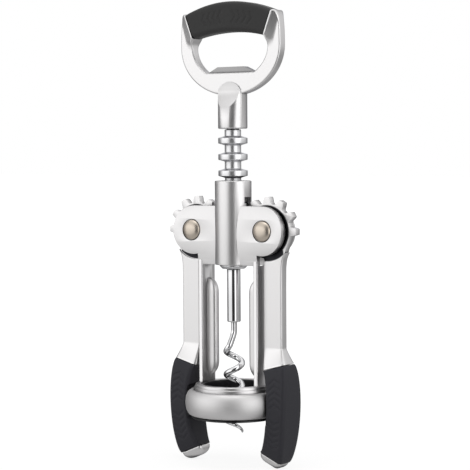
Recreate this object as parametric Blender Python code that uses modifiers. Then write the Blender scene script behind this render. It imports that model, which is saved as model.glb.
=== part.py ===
"""Wing corkscrew: a frame with a bell, a rack spindle with a bottle-opener handle, and two geared wings.

The origin is the centre of the seat that rests on the bottle's lip, on the worm's axis. +Z is up along
that axis, the wings swing to +X and -X, and the front is -Y.
"""
import math

import bmesh
import bpy
from mathutils import Matrix, Vector

MM = 0.001

# Running gap between pieces that touch, and how far a cutter runs past what it cuts
SEAT_GAP = 0.3 * MM
OVERRUN = 2.0 * MM
WELD = 0.001 * MM

# Bottle seat and bell, sized from the bell's ring inwards
BELL_RING_RADIUS = 21.0 * MM
BELL_RING_THICKNESS = 3.5 * MM
BELL_DEPTH = 9.7 * MM
BELL_RING_RISE = 1.1 * MM
SKIRT_WALL = 0.9 * MM
SKIRT_END = 1.4 * MM
LINER_WALL = 1.1 * MM
LINER_LEDGE_WIDTH = 2.1 * MM
LINER_RIM = 0.8 * MM
LINER_RIM_OVERHANG = 0.6 * MM
COLLAR_TOP = 3.7 * MM
COLLAR_CHAMFER = 0.3 * MM
COLLAR_RIM_HEIGHT = 1.3 * MM
COLLAR_RIM_INSET = 0.5 * MM

# Rack teeth are rings round the shaft, and the wings' teeth mesh with them
TOOTH_PITCH = 6.92 * MM
TEETH_PER_TURN = 12
TOOTH_PLAY = 1.2 * MM
TIP_CLEARANCE = 0.2 * MM
ROOT_CLEARANCE = 0.35 * MM
PIVOT_HEIGHT = 69.1 * MM
RACK_RADIUS = 6.25 * MM
RACK_PITCH_RADIUS = 4.984 * MM
RACK_ROOT_RADIUS = 3.5 * MM
RACK_CLEARANCE = 0.25 * MM
RING_ROOT_HEIGHT = 3.5 * MM
RING_RIM_HEIGHT = 1.5 * MM
RINGS_ABOVE_PIVOT = 6
RINGS_BELOW_PIVOT = 2
RACK_GROOVE_LENGTH = 1.87 * MM
RACK_END_LENGTH = 2.4 * MM
RACK_END_STEP = 0.35 * MM
RACK_END_CHAMFER = 1.1 * MM
NECK_RISE = 5.04 * MM
STUB_RADIUS = 2.6 * MM
STUB_LENGTH = 10.0 * MM
STUB_CLEARANCE = 0.15 * MM

# Frame casting
TUBE_WALL = 1.35 * MM
TUBE_BELOW_PIVOT = 14.7 * MM
TUBE_ABOVE_PIVOT = 21.1 * MM
TUBE_CHAMFER = 0.4 * MM
BUSH_LENGTH = 5.2 * MM
BUSH_WALL = 0.5 * MM
BUSH_CLEARANCE = 0.1 * MM
CHEEK_RADIUS = 10.4 * MM
CHEEK_CENTRE_OFFSET = 0.6 * MM
CHEEK_HALF_DEPTH = 5.6 * MM
CHEEK_ROUNDING = 1.3 * MM
SLOT_CLEARANCE = 0.9 * MM
WINDOW_RISE = 14.2 * MM
LEG_SETBACK = 2.0 * MM
LEG_THICKNESS = 2.0 * MM
LEG_HALF_DEPTH = 4.8 * MM
LEG_ROUNDING = 0.4 * MM
FIN_DEPTH = 4.9 * MM
FIN_HALF_WIDTH = 1.85 * MM
FIN_TIP_HALF_WIDTH = 0.5 * MM
FIN_ABOVE_COLLAR = 2.9 * MM
FIN_BELOW_TUBE = 6.0 * MM
FIN_TAPER = 6.0 * MM

# Pivot pins
PIN_RADIUS = 2.2 * MM
PIN_CLEARANCE = 0.1 * MM
PIN_HEAD_RADIUS = 4.4 * MM
PIN_HEAD_RISE = 1.5 * MM
PIN_TAIL_RADIUS = 3.2 * MM
PIN_TAIL_RISE = 0.9 * MM
RECESS_CLEARANCE = 0.3 * MM
RECESS_DEPTH = 0.7 * MM
WASHER_THICKNESS = 0.6 * MM

# Wings: a toothed plate, a flat arm that swells towards the grip, a core inside the grip and a round tip
GEAR_HALF_WIDTH = 1.5 * MM
TIP_ROUNDING = 0.5 * MM
PRESSURE_ANGLE = math.radians(20.0)
SECTOR_TEETH = 8
SHOULDER_STEP = 1.3 * MM
ARM_CLEARANCE = 1.5 * MM
ARM_WIDTH = 9.0 * MM
ARM_HALF_DEPTH = 2.1 * MM
ARM_ROUNDING = 0.6 * MM
ARM_SWELL_LENGTH = 9.6 * MM
CORE_HALF_WIDTH = 2.4 * MM
CORE_HALF_DEPTH = 2.0 * MM
CORE_ROUNDING = 0.5 * MM
GRIP_ROUNDING = 1.7 * MM
GRIP_TOP_HEIGHT = 10.3 * MM
GRIP_TOP_SLANT = 3.0 * MM
GRIP_TOP_STEP_INSIDE = 0.4 * MM
GRIP_TOP_STEP_OUTSIDE = 2.6 * MM
GRIP_LENGTH = 34.2 * MM
GRIP_END_TUCK = 1.7 * MM
GRIP_END_WIDTH = 10.6 * MM
GRIP_END_SLANT = 4.6 * MM
GRIP_TOP_HALF_DEPTH = 4.6 * MM
GRIP_END_HALF_DEPTH = 4.3 * MM
GRIP_BELLY_HALF_DEPTH = 7.2 * MM
GRIP_BELLY_WIDTH = 9.5 * MM
GRIP_BELL_REACH = 0.8 * MM
GRIP_BELL_CLEARANCE = 0.5 * MM
TIP_RISE = 3.6 * MM
TIP_INSET = 0.5 * MM

# Handle: a ring of metal on a round neck, with a soft grip over its top
NECK_RADIUS = 6.25 * MM
NECK_CHAMFER = 0.7 * MM
NECK_SLOPE_LENGTH = 12.0 * MM
NECK_BELOW_HOLE = 4.0 * MM
NECK_ARCH_MARGIN = 0.35 * MM
LOOP_CENTRE_HEIGHT = 34.8 * MM
LOOP_HALF_WIDTH = 25.6 * MM
LOOP_DROP = 20.8 * MM
LOOP_SIDE_WIDTH = 6.4 * MM
LOOP_FOOT_WIDTH = 6.5 * MM
LOOP_HALF_DEPTH = 2.2 * MM
LOOP_ROUNDING = 0.7 * MM
HOLE_FLOOR_RISE = 3.3 * MM
LIP_HEIGHT = 2.4 * MM
LIP_HALF_WIDTH = 6.7 * MM
LIP_FOOT_SETBACK = 8.3 * MM
LIP_FRONT = 0.6 * MM
HANDLE_END_RISE = 3.8 * MM
HANDLE_END_TUCK = 1.0 * MM
HANDLE_END_SPREAD = 4.0 * MM
HANDLE_END_HEIGHT = 10.6 * MM
HANDLE_CREST_RISE = 4.5 * MM
HANDLE_UNDERSIDE_RISE = 2.2 * MM
HANDLE_HALF_DEPTH = 4.0 * MM
HANDLE_MIDDLE_HALF_DEPTH = 4.4 * MM
HANDLE_ROUNDING = 2.2 * MM
HANDLE_CORE_COVER = 2.6 * MM
HANDLE_CORE_ROUNDING = 0.6 * MM

# Dowels that fix the handle on the rack's stub and the worm's holder in the rack
HANDLE_DOWEL_RADIUS = 1.0 * MM
HOLDER_DOWEL_RADIUS = 0.6 * MM
DOWEL_CLEARANCE = 0.1 * MM
DOWEL_SINK = 0.3 * MM
DOWEL_STEPS = 12

# Worm and its holder
HOLDER_RADIUS = 2.9 * MM
HOLDER_LENGTH = 22.5 * MM
HOLDER_STUB_RADIUS = 1.9 * MM
HOLDER_STUB_LENGTH = 9.0 * MM
HOLDER_CHAMFER = 0.6 * MM
WIRE_RADIUS = 1.3 * MM
WORM_COIL_RADIUS = 3.35 * MM
WORM_PITCH = 9.9 * MM
WORM_LENGTH = 47.6 * MM
WORM_SHANK = 8.0 * MM
WORM_STRAIGHT_LENGTH = 3.4 * MM
WORM_SWING_LENGTH = 9.2 * MM
WORM_TURN_START = 11.4 * MM
WORM_TURN_BLEND = 2.0 * MM
WORM_POINT_LENGTH = 7.0 * MM
WORM_POINT_RADIUS = 0.25 * MM
WORM_RIGHTMOST_DROP = 17.6 * MM
WORM_RIGHTMOST_ANGLE = math.radians(35.0)

# Finishes: colour, roughness and metallic value
SATIN_NICKEL = ((0.72, 0.71, 0.71), 0.3, 1.0)
POLISHED_CHROME = ((0.80, 0.80, 0.81), 0.08, 1.0)
BRIGHT_STEEL = ((0.70, 0.70, 0.70), 0.15, 1.0)
BRUSHED_BRASS = ((0.70, 0.61, 0.50), 0.35, 1.0)
SOFT_GRIP = ((0.045, 0.043, 0.050), 0.6, 0.0)
BLACK_PLASTIC = ((0.012, 0.012, 0.014), 0.35, 0.0)
NYLON = ((0.020, 0.020, 0.022), 0.45, 0.0)

# How finely round shapes are cut into flats
ROUND_STEPS = 32
SMALL_ROUND_STEPS = 24
CORNER_STEPS = 3
COIL_STEPS = 16

# Radii worked out from the sizes above, from the bell's ring inwards and from the rack outwards
COLLAR_RADIUS = BELL_RING_RADIUS - BELL_RING_THICKNESS - SEAT_GAP
BOTTLE_LIP_RADIUS = COLLAR_RADIUS - SKIRT_WALL - SEAT_GAP - LINER_WALL
LINER_NECK_RADIUS = BOTTLE_LIP_RADIUS - LINER_LEDGE_WIDTH
COLLAR_BORE_RADIUS = LINER_NECK_RADIUS + LINER_WALL + SEAT_GAP
LEG_OUTSIDE = COLLAR_RADIUS - LEG_SETBACK
LEG_INSIDE = LEG_OUTSIDE - LEG_THICKNESS
FIN_CREST = LEG_INSIDE - FIN_DEPTH
TUBE_BORE_RADIUS = RACK_RADIUS + RACK_CLEARANCE
TUBE_RADIUS = TUBE_BORE_RADIUS + TUBE_WALL
BUSH_RADIUS = TUBE_BORE_RADIUS + BUSH_WALL
RECESS_FLOOR = CHEEK_HALF_DEPTH - RECESS_DEPTH

# The gears: each wing's pitch circle touches the rack's pitch line
TOOTH_ANGLE = 2.0 * math.pi / TEETH_PER_TURN
PITCH_RADIUS = TOOTH_PITCH * TEETH_PER_TURN / (2.0 * math.pi)
PIVOT_REACH = PITCH_RADIUS + RACK_PITCH_RADIUS
GEAR_TIP_RADIUS = PIVOT_REACH - RACK_ROOT_RADIUS - TIP_CLEARANCE
GEAR_ROOT_RADIUS = PIVOT_REACH - RACK_RADIUS - ROOT_CLEARANCE
SHOULDER_RADIUS = GEAR_ROOT_RADIUS + SHOULDER_STEP
RING_SLOPE = (RING_ROOT_HEIGHT - RING_RIM_HEIGHT) / (RACK_RADIUS - RACK_ROOT_RADIUS)
RING_PITCH_HEIGHT = RING_RIM_HEIGHT + (RACK_RADIUS - RACK_PITCH_RADIUS) * RING_SLOPE
GEAR_TOOTH_WIDTH = TOOTH_PITCH - RING_PITCH_HEIGHT - TOOTH_PLAY
CHEEK_CENTRE = PIVOT_REACH - CHEEK_CENTRE_OFFSET
SLOT_HALF_WIDTH = GEAR_HALF_WIDTH + SLOT_CLEARANCE
SLOT_BOTTOM = PIVOT_HEIGHT - GEAR_TIP_RADIUS - SEAT_GAP - PIN_CLEARANCE

# Heights of the frame and the spindle
TUBE_BOTTOM = PIVOT_HEIGHT - TUBE_BELOW_PIVOT
TUBE_TOP = PIVOT_HEIGHT + TUBE_ABOVE_PIVOT
FIN_BOTTOM = COLLAR_TOP + FIN_ABOVE_COLLAR
FIN_TOP = TUBE_BOTTOM - FIN_BELOW_TUBE
HIGHEST_RING = PIVOT_HEIGHT + (RINGS_ABOVE_PIVOT - 0.5) * TOOTH_PITCH
LOWEST_RING = PIVOT_HEIGHT - (RINGS_BELOW_PIVOT - 0.5) * TOOTH_PITCH
NECK_BOTTOM = HIGHEST_RING + NECK_RISE
STUB_TOP = NECK_BOTTOM + STUB_LENGTH
RACK_END_TOP = LOWEST_RING - RING_ROOT_HEIGHT / 2.0 - RACK_GROOVE_LENGTH
RACK_BOTTOM = RACK_END_TOP - RACK_END_LENGTH
RACK_END_RADIUS = RACK_RADIUS - RACK_END_STEP
HOLDER_TOP = RACK_BOTTOM - SEAT_GAP
HOLDER_BOTTOM = HOLDER_TOP - HOLDER_LENGTH
WORM_TIP = HOLDER_BOTTOM - WORM_LENGTH
WORM_STRAIGHT_BOTTOM = HOLDER_BOTTOM - WORM_STRAIGHT_LENGTH
WORM_RIGHTMOST_HEIGHT = HOLDER_BOTTOM - WORM_RIGHTMOST_DROP

# The wing's arm beside the leg, and its grip beside the bell
ARM_INSIDE = LEG_OUTSIDE + ARM_CLEARANCE
ARM_OUTSIDE = ARM_INSIDE + ARM_WIDTH
ARM_SWELL_START = GRIP_TOP_HEIGHT + ARM_SWELL_LENGTH
GRIP_TOP_INSIDE = Vector((ARM_INSIDE + GRIP_TOP_STEP_INSIDE, 0.0, GRIP_TOP_HEIGHT))
GRIP_TOP_OUTSIDE = Vector((ARM_OUTSIDE + GRIP_TOP_STEP_OUTSIDE, 0.0, GRIP_TOP_HEIGHT + GRIP_TOP_SLANT))
GRIP_END_INSIDE = GRIP_TOP_INSIDE - Vector((GRIP_END_TUCK, 0.0, GRIP_LENGTH))
GRIP_END_OUTSIDE = GRIP_END_INSIDE + Vector((GRIP_END_WIDTH, 0.0, -GRIP_END_SLANT))
GRIP_BELLY_INSIDE = BELL_RING_RADIUS - GRIP_BELL_REACH
GRIP_BELLY_OUTSIDE = GRIP_BELLY_INSIDE + GRIP_BELLY_WIDTH

# The handle, up from its neck's bottom
LOOP_CENTRE = NECK_BOTTOM + LOOP_CENTRE_HEIGHT
HOLE_HALF_WIDTH = LOOP_HALF_WIDTH - LOOP_SIDE_WIDTH
HOLE_DROP = LOOP_DROP - LOOP_FOOT_WIDTH
HOLE_FLOOR = LOOP_CENTRE - HOLE_DROP + HOLE_FLOOR_RISE
NECK_TOP = HOLE_FLOOR - NECK_BELOW_HOLE
NECK_SLOPE_START = NECK_TOP - NECK_SLOPE_LENGTH
NECK_ARCH_RADIUS = NECK_RADIUS + NECK_ARCH_MARGIN
LIP_FOOT_HALF_WIDTH = LOOP_HALF_WIDTH - LIP_FOOT_SETBACK
HANDLE_END_INSIDE = Vector((HOLE_HALF_WIDTH - HANDLE_END_TUCK, 0.0, LOOP_CENTRE + HANDLE_END_RISE))
HANDLE_END_OUTSIDE = HANDLE_END_INSIDE + Vector((HANDLE_END_SPREAD, 0.0, HANDLE_END_HEIGHT))
HANDLE_CREST = HANDLE_END_OUTSIDE.z + HANDLE_CREST_RISE
HANDLE_UNDERSIDE = HANDLE_END_INSIDE.z + HANDLE_UNDERSIDE_RISE


def clear_scene():
    """Remove every object, so that the script can run again in an open file."""
    for item in list(bpy.data.objects):
        bpy.data.objects.remove(item, do_unlink=True)


def new_collection(name):
    """A collection of the scene, made new."""
    group = bpy.data.collections.new(name)
    bpy.context.scene.collection.children.link(group)
    return group


def material(name, finish):
    """A Principled material of one finish, given as its colour, roughness and metallic value."""
    colour, roughness, metallic = finish
    made = bpy.data.materials.new(name)
    made.use_nodes = True
    shader = made.node_tree.nodes["Principled BSDF"]
    shader.inputs["Base Color"].default_value = (*colour, 1.0)
    shader.inputs["Roughness"].default_value = roughness
    shader.inputs["Metallic"].default_value = metallic
    return made


def place(name, mesh, group, finish=None, about=None):
    """Put a mesh, worked out in world places, in the scene, with its origin at the point about."""
    item = bpy.data.objects.new(name, mesh)
    group.objects.link(item)
    if about is not None:
        mesh.transform(Matrix.Translation(-about))
        item.location = about
    if finish is not None:
        mesh.materials.clear()
        mesh.materials.append(material(name, finish))
    return item


def shade(mesh):
    """Smooth shading, with edges sharper than 35 degrees left sharp."""
    mesh.shade_smooth()
    mesh.set_sharp_from_angle(angle=math.radians(35.0))


def tool(name, mesh):
    """A cutter, or a piece that another is joined to: kept out of the model, in its own collection."""
    item = place(name, mesh, CUTTERS)
    item.hide_render = True
    item.display_type = 'WIRE'
    return item


def combine(target, other, operation):
    """Add a Boolean of the other object to the target."""
    step = target.modifiers.new(other.name, 'BOOLEAN')
    step.operation = operation
    step.solver = 'EXACT'
    step.object = other


def weld_cuts(item):
    """Merge the points that Booleans leave a hair apart."""
    weld = item.modifiers.new("weld", 'WELD')
    weld.merge_threshold = WELD


def turned_mesh(name, profile, steps=ROUND_STEPS):
    """A profile of (radius, height) points turned once round Z.

    The profile runs down the outside. One that starts and ends on the axis is left open there, and any
    other is closed into a ring.
    """
    mesh = bpy.data.meshes.new(name + "_profile")
    count = len(profile)
    edges = [(index, index + 1) for index in range(count - 1)]
    if profile[0][0] > 0.0:
        edges.append((count - 1, 0))
    mesh.from_pydata([(radius, 0.0, height) for radius, height in profile], edges, [])
    item = bpy.data.objects.new(name + "_turning", mesh)
    CUTTERS.objects.link(item)
    screw = item.modifiers.new("turn", 'SCREW')
    screw.axis = 'Z'
    screw.angle = 2.0 * math.pi
    screw.steps = steps
    screw.render_steps = steps
    screw.use_merge_vertices = True
    screw.merge_threshold = WELD
    screw.use_smooth_shade = False
    return solid_mesh(item, name)


def solid_mesh(item, name):
    """The evaluated mesh of an object in world places, welded and facing out; the object is removed."""
    graph = bpy.context.evaluated_depsgraph_get()
    mesh = bpy.data.meshes.new_from_object(item.evaluated_get(graph))
    mesh.name = name
    mesh.transform(item.matrix_world)
    work = bmesh.new()
    work.from_mesh(mesh)
    bmesh.ops.remove_doubles(work, verts=work.verts, dist=WELD)
    bmesh.ops.recalc_face_normals(work, faces=work.faces)
    work.to_mesh(mesh)
    work.free()
    bpy.data.objects.remove(item, do_unlink=True)
    return mesh


def plate_mesh(name, outlines, half_depth, rounding=0.0, turns=0):
    """Closed outlines of (x, z) points made a plate across Y, with its edges rounded."""
    curve = bpy.data.curves.new(name + "_outline", 'CURVE')
    curve.dimensions = '2D'
    curve.fill_mode = 'BOTH'
    curve.extrude = half_depth - rounding
    curve.bevel_depth = rounding
    curve.bevel_resolution = turns
    curve.offset = -rounding
    for outline in outlines:
        spline = curve.splines.new('POLY')
        spline.points.add(len(outline) - 1)
        for point, (across, height) in zip(spline.points, outline):
            point.co = (across, height, 0.0, 1.0)
        spline.use_cyclic_u = True
    item = bpy.data.objects.new(name + "_flat", curve)
    CUTTERS.objects.link(item)
    item.rotation_euler = (math.pi / 2.0, 0.0, 0.0)
    bpy.context.view_layer.update()
    return solid_mesh(item, name)


def box_mesh(name, low, high, rounding=0.0):
    """A box between two corners, with its edges bevelled."""
    size = [top - bottom for bottom, top in zip(low, high)]
    middle = [(top + bottom) / 2.0 for bottom, top in zip(low, high)]
    mesh = bpy.data.meshes.new(name)
    work = bmesh.new()
    bmesh.ops.create_cube(work, size=1.0)
    bmesh.ops.scale(work, vec=size, verts=work.verts)
    bmesh.ops.translate(work, vec=middle, verts=work.verts)
    if rounding > 0.0:
        bmesh.ops.bevel(work, geom=work.edges[:], offset=rounding, segments=1, profile=0.5, affect='EDGES')
    work.to_mesh(mesh)
    work.free()
    return mesh


def bar_mesh(name, radius, low, high, steps=SMALL_ROUND_STEPS):
    """A round bar along Z."""
    return turned_mesh(name, [(0.0, high), (radius, high), (radius, low), (0.0, low)], steps)


def section(inside, outside, half_depth, rounding, inset=0.0):
    """One rounded rectangle of a loft.

    It spans from the inside point to the outside point, and half_depth to the front and to the back. The
    inset draws it in on every side.
    """
    across = outside - inside
    half_across = across.length / 2.0 - inset
    across.normalize()
    middle = (inside + outside) / 2.0
    half_depth = half_depth - inset
    corner = min(rounding, half_across, half_depth)
    points = []
    for quarter in range(4):
        for step in range(CORNER_STEPS + 1):
            angle = (quarter + step / CORNER_STEPS) * math.pi / 2.0
            sign_across = 1.0 if quarter in (0, 3) else -1.0
            sign_depth = 1.0 if quarter in (0, 1) else -1.0
            along = sign_across * (half_across - corner) + corner * math.cos(angle)
            depth = sign_depth * (half_depth - corner) + corner * math.sin(angle)
            points.append(middle + across * along + Vector((0.0, depth, 0.0)))
    return points


def loft_mesh(name, sections, closed=False, hollow=None):
    """A skin over sections of equally many points.

    Its ends are capped, or joined to each other where closed is set. Where hollow gives a second row of
    sections, they line a channel that runs through the solid from end to end.
    """
    count = len(sections[0])
    work = bmesh.new()

    def skin(rows, last_to_first=False):
        rings = [[work.verts.new(point) for point in row] for row in rows]
        pairs = list(zip(rings, rings[1:]))
        if last_to_first:
            pairs.append((rings[-1], rings[0]))
        for first, second in pairs:
            for index in range(count):
                after = (index + 1) % count
                work.faces.new((first[index], first[after], second[after], second[index]))
        return rings

    outer = skin(sections, closed)
    if hollow is not None:
        inner = skin(hollow)
        for end in (0, -1):
            for index in range(count):
                after = (index + 1) % count
                work.faces.new((outer[end][index], outer[end][after], inner[end][after], inner[end][index]))
    elif not closed:
        work.faces.new(outer[0])
        work.faces.new(outer[-1])
    bmesh.ops.remove_doubles(work, verts=work.verts, dist=WELD)
    bmesh.ops.recalc_face_normals(work, faces=work.faces)
    mesh = bpy.data.meshes.new(name)
    work.to_mesh(mesh)
    work.free()
    return mesh


def mirrored(mesh, side):
    """The mesh as it is for the right side, or turned over to the left."""
    if side < 0:
        mesh.transform(Matrix.Scale(-1.0, 4, Vector((1.0, 0.0, 0.0))))
        mesh.flip_normals()
    return mesh


def across_depth(mesh, x, z):
    """Lay a mesh turned round Z along Y, its top to the front, through the point x, z."""
    mesh.transform(Matrix.Translation(Vector((x, 0.0, z))) @ Matrix.Rotation(math.pi / 2.0, 4, 'X'))
    return mesh


def smooth_share(share):
    """A share from 0 to 1 that starts and ends level."""
    share = min(max(share, 0.0), 1.0)
    return share * share * (3.0 - 2.0 * share)


def frame_mesh_parts():
    """The pieces that one casting joins: tube, cheeks, legs, cork fins and the collar over the bell."""
    tube = turned_mesh("frame_casting", [
        (0.0, TUBE_TOP),
        (TUBE_RADIUS - TUBE_CHAMFER, TUBE_TOP),
        (TUBE_RADIUS, TUBE_TOP - TUBE_CHAMFER),
        (TUBE_RADIUS, TUBE_BOTTOM + TUBE_CHAMFER),
        (TUBE_RADIUS - TUBE_CHAMFER, TUBE_BOTTOM),
        (0.0, TUBE_BOTTOM)])
    joined = [tool("frame_cheeks", cheek_mesh())]
    for side, word in ((1, "right"), (-1, "left")):
        leg = box_mesh(
            "frame_leg_" + word,
            (LEG_INSIDE, -LEG_HALF_DEPTH, COLLAR_TOP - COLLAR_CHAMFER),
            (LEG_OUTSIDE, LEG_HALF_DEPTH, TUBE_BOTTOM + LEG_THICKNESS), LEG_ROUNDING)
        joined.append(tool("frame_leg_" + word, mirrored(leg, side)))
        joined.append(tool("frame_fin_" + word, mirrored(fin_mesh(), side)))
    ledge = LINER_WALL + SEAT_GAP
    rim = COLLAR_RADIUS - COLLAR_RIM_INSET
    skirt_bottom = SKIRT_END - BELL_DEPTH
    collar = turned_mesh("frame_collar", [
        (0.0, COLLAR_TOP),
        (rim - COLLAR_CHAMFER, COLLAR_TOP),
        (rim, COLLAR_TOP - COLLAR_CHAMFER),
        (rim, COLLAR_TOP - COLLAR_RIM_HEIGHT),
        (COLLAR_RADIUS, COLLAR_TOP - COLLAR_RIM_HEIGHT),
        (COLLAR_RADIUS, skirt_bottom),
        (COLLAR_RADIUS - SKIRT_WALL, skirt_bottom),
        (COLLAR_RADIUS - SKIRT_WALL, ledge),
        (0.0, ledge)])
    joined.append(tool("frame_collar", collar))
    return tube, joined


def cheek_mesh():
    """Both cheeks as one plate through the tube: round about each pivot, with a square foot on each leg."""
    foot_angle = -math.acos((LEG_OUTSIDE - CHEEK_CENTRE) / CHEEK_RADIUS)
    steps = ROUND_STEPS // 2
    right = [(LEG_OUTSIDE, TUBE_BOTTOM)]
    for step in range(steps + 1):
        angle = foot_angle + (math.pi / 2.0 - foot_angle) * step / steps
        across = CHEEK_CENTRE + CHEEK_RADIUS * math.cos(angle)
        right.append((across, PIVOT_HEIGHT + CHEEK_RADIUS * math.sin(angle)))
    left = [(-across, height) for across, height in reversed(right)]
    return plate_mesh("frame_cheeks", [right + left], CHEEK_HALF_DEPTH, CHEEK_ROUNDING, 1)


def fin_mesh():
    """A boat-shaped fin inside the leg that keeps the cork from turning."""
    end_shares = (0.0, 0.12, 0.3, 0.6, 1.0)
    heights = [(FIN_BOTTOM + FIN_TAPER * share, share) for share in end_shares]
    heights += [(FIN_TOP - FIN_TAPER * share, share) for share in reversed(end_shares)]
    sections = []
    for height, share in heights:
        swell = math.sin(share * math.pi / 2.0)
        crest = LEG_INSIDE - FIN_TIP_HALF_WIDTH - (LEG_INSIDE - FIN_TIP_HALF_WIDTH - FIN_CREST) * swell
        half_width = FIN_TIP_HALF_WIDTH + (FIN_HALF_WIDTH - FIN_TIP_HALF_WIDTH) * swell
        inside = Vector((crest, 0.0, height))
        outside = Vector((LEG_INSIDE + LEG_THICKNESS / 2.0, 0.0, height))
        sections.append(section(inside, outside, half_width, half_width))
    return loft_mesh("frame_fin", sections)


def build_frame(group):
    """The frame casting, with its bore, gear slots, pivot holes and neck opening cut."""
    tube, joined = frame_mesh_parts()
    frame = place("frame_casting", tube, group, SATIN_NICKEL)
    for other in joined:
        combine(frame, other, 'UNION')
    pocket_floor = TUBE_TOP - BUSH_LENGTH - SEAT_GAP
    bore = turned_mesh("tube_bore", [
        (0.0, TUBE_TOP + OVERRUN),
        (BUSH_RADIUS + BUSH_CLEARANCE, TUBE_TOP + OVERRUN),
        (BUSH_RADIUS + BUSH_CLEARANCE, pocket_floor),
        (TUBE_BORE_RADIUS, pocket_floor),
        (TUBE_BORE_RADIUS, TUBE_BOTTOM - OVERRUN),
        (0.0, TUBE_BOTTOM - OVERRUN)])
    combine(frame, tool("tube_bore", bore), 'DIFFERENCE')
    neck = bar_mesh("collar_bore", COLLAR_BORE_RADIUS, 0.0, COLLAR_TOP + SEAT_GAP, ROUND_STEPS)
    combine(frame, tool("collar_bore", neck), 'DIFFERENCE')
    for side, word in ((1, "right"), (-1, "left")):
        slot = box_mesh(
            "gear_slot_" + word,
            (RACK_RADIUS - GEAR_HALF_WIDTH, -SLOT_HALF_WIDTH, SLOT_BOTTOM),
            (CHEEK_CENTRE + CHEEK_RADIUS + OVERRUN, SLOT_HALF_WIDTH, PIVOT_HEIGHT + WINDOW_RISE))
        combine(frame, tool("gear_slot_" + word, mirrored(slot, side)), 'DIFFERENCE')
        hole = PIN_RADIUS + PIN_CLEARANCE
        recess = PIN_HEAD_RADIUS + RECESS_CLEARANCE
        end = CHEEK_HALF_DEPTH + OVERRUN
        bar = turned_mesh("pivot_hole_" + word, [
            (0.0, end), (recess, end), (recess, RECESS_FLOOR), (hole, RECESS_FLOOR),
            (hole, -RECESS_FLOOR), (recess, -RECESS_FLOOR), (recess, -end), (0.0, -end)], SMALL_ROUND_STEPS)
        across_depth(bar, side * PIVOT_REACH, PIVOT_HEIGHT)
        combine(frame, tool("pivot_hole_" + word, bar), 'DIFFERENCE')
    weld_cuts(frame)


def build_bell(group):
    """The bell's outer ring, pressed over the skirt, and the black liner that the bottle's lip sits in."""
    middle = (BELL_RING_RISE - BELL_DEPTH) / 2.0
    half_height = (BELL_RING_RISE + BELL_DEPTH) / 2.0
    bore = COLLAR_RADIUS + SEAT_GAP
    edge = bore + LEG_ROUNDING
    steps = 12
    profile = []
    for step in range(steps + 1):
        angle = math.pi / 2.0 - math.pi * step / steps
        radius = edge + (BELL_RING_RADIUS - edge) * math.cos(angle)
        profile.append((radius, middle + half_height * math.sin(angle)))
    profile += [(bore, -BELL_DEPTH), (bore, BELL_RING_RISE)]
    place("bell_ring", turned_mesh("bell_ring", profile), group, SATIN_NICKEL)

    neck = LINER_NECK_RADIUS + LINER_WALL
    wall = BOTTLE_LIP_RADIUS + LINER_WALL
    rim_top = -BELL_DEPTH - SEAT_GAP
    rim_bottom = rim_top - LINER_RIM
    rim = edge + LINER_RIM_OVERHANG
    liner = turned_mesh("bell_liner", [
        (neck, COLLAR_TOP - SEAT_GAP),
        (neck, LINER_WALL),
        (wall, LINER_WALL),
        (wall, rim_top),
        (rim, rim_top),
        (rim, rim_bottom),
        (wall, rim_bottom),
        (BOTTLE_LIP_RADIUS, rim_bottom + BELL_DEPTH / 4.0),
        (BOTTLE_LIP_RADIUS, 0.0),
        (LINER_NECK_RADIUS, 0.0),
        (LINER_NECK_RADIUS, COLLAR_TOP - SEAT_GAP)])
    place("bell_liner", liner, group, BLACK_PLASTIC)


def build_pivots(group):
    """The domed pivot pins, and the washers that their tails are spread over at the back."""
    for side, word in ((1, "right"), (-1, "left")):
        seat = RECESS_FLOOR + SEAT_GAP
        dome = []
        steps = 5
        for step in range(steps + 1):
            angle = math.pi / 2.0 * (1.0 - step / steps)
            height = CHEEK_HALF_DEPTH + PIN_HEAD_RISE * math.sin(angle)
            dome.append((PIN_HEAD_RADIUS * math.cos(angle), height))
        dome[0] = (0.0, CHEEK_HALF_DEPTH + PIN_HEAD_RISE)
        tail_seat = RECESS_FLOOR + SEAT_GAP + WASHER_THICKNESS + SEAT_GAP
        profile = dome + [
            (PIN_HEAD_RADIUS, seat), (PIN_RADIUS, seat), (PIN_RADIUS, -tail_seat),
            (PIN_TAIL_RADIUS, -tail_seat), (PIN_TAIL_RADIUS - LEG_ROUNDING, -tail_seat - PIN_TAIL_RISE),
            (0.0, -tail_seat - PIN_TAIL_RISE)]
        pin = turned_mesh(word + "_pivot_pin", profile, SMALL_ROUND_STEPS)
        across_depth(pin, side * PIVOT_REACH, PIVOT_HEIGHT)
        place(word + "_pivot_pin", pin, group, BRUSHED_BRASS)
        washer = turned_mesh(word + "_pivot_washer", [
            (PIN_HEAD_RADIUS, -RECESS_FLOOR - SEAT_GAP),
            (PIN_HEAD_RADIUS, -RECESS_FLOOR - SEAT_GAP - WASHER_THICKNESS),
            (PIN_RADIUS + PIN_CLEARANCE, -RECESS_FLOOR - SEAT_GAP - WASHER_THICKNESS),
            (PIN_RADIUS + PIN_CLEARANCE, -RECESS_FLOOR - SEAT_GAP)], SMALL_ROUND_STEPS)
        across_depth(washer, side * PIVOT_REACH, PIVOT_HEIGHT)
        place(word + "_pivot_washer", washer, group, BRIGHT_STEEL)


def tooth_half_angle(radius):
    """Half of the angle that an involute tooth takes up at a radius."""
    base = PITCH_RADIUS * math.cos(PRESSURE_ANGLE)
    angle = math.acos(min(base / max(radius, base), 1.0))
    at_pitch = GEAR_TOOTH_WIDTH / (2.0 * PITCH_RADIUS)
    return at_pitch + (math.tan(PRESSURE_ANGLE) - PRESSURE_ANGLE) - (math.tan(angle) - angle)


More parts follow.
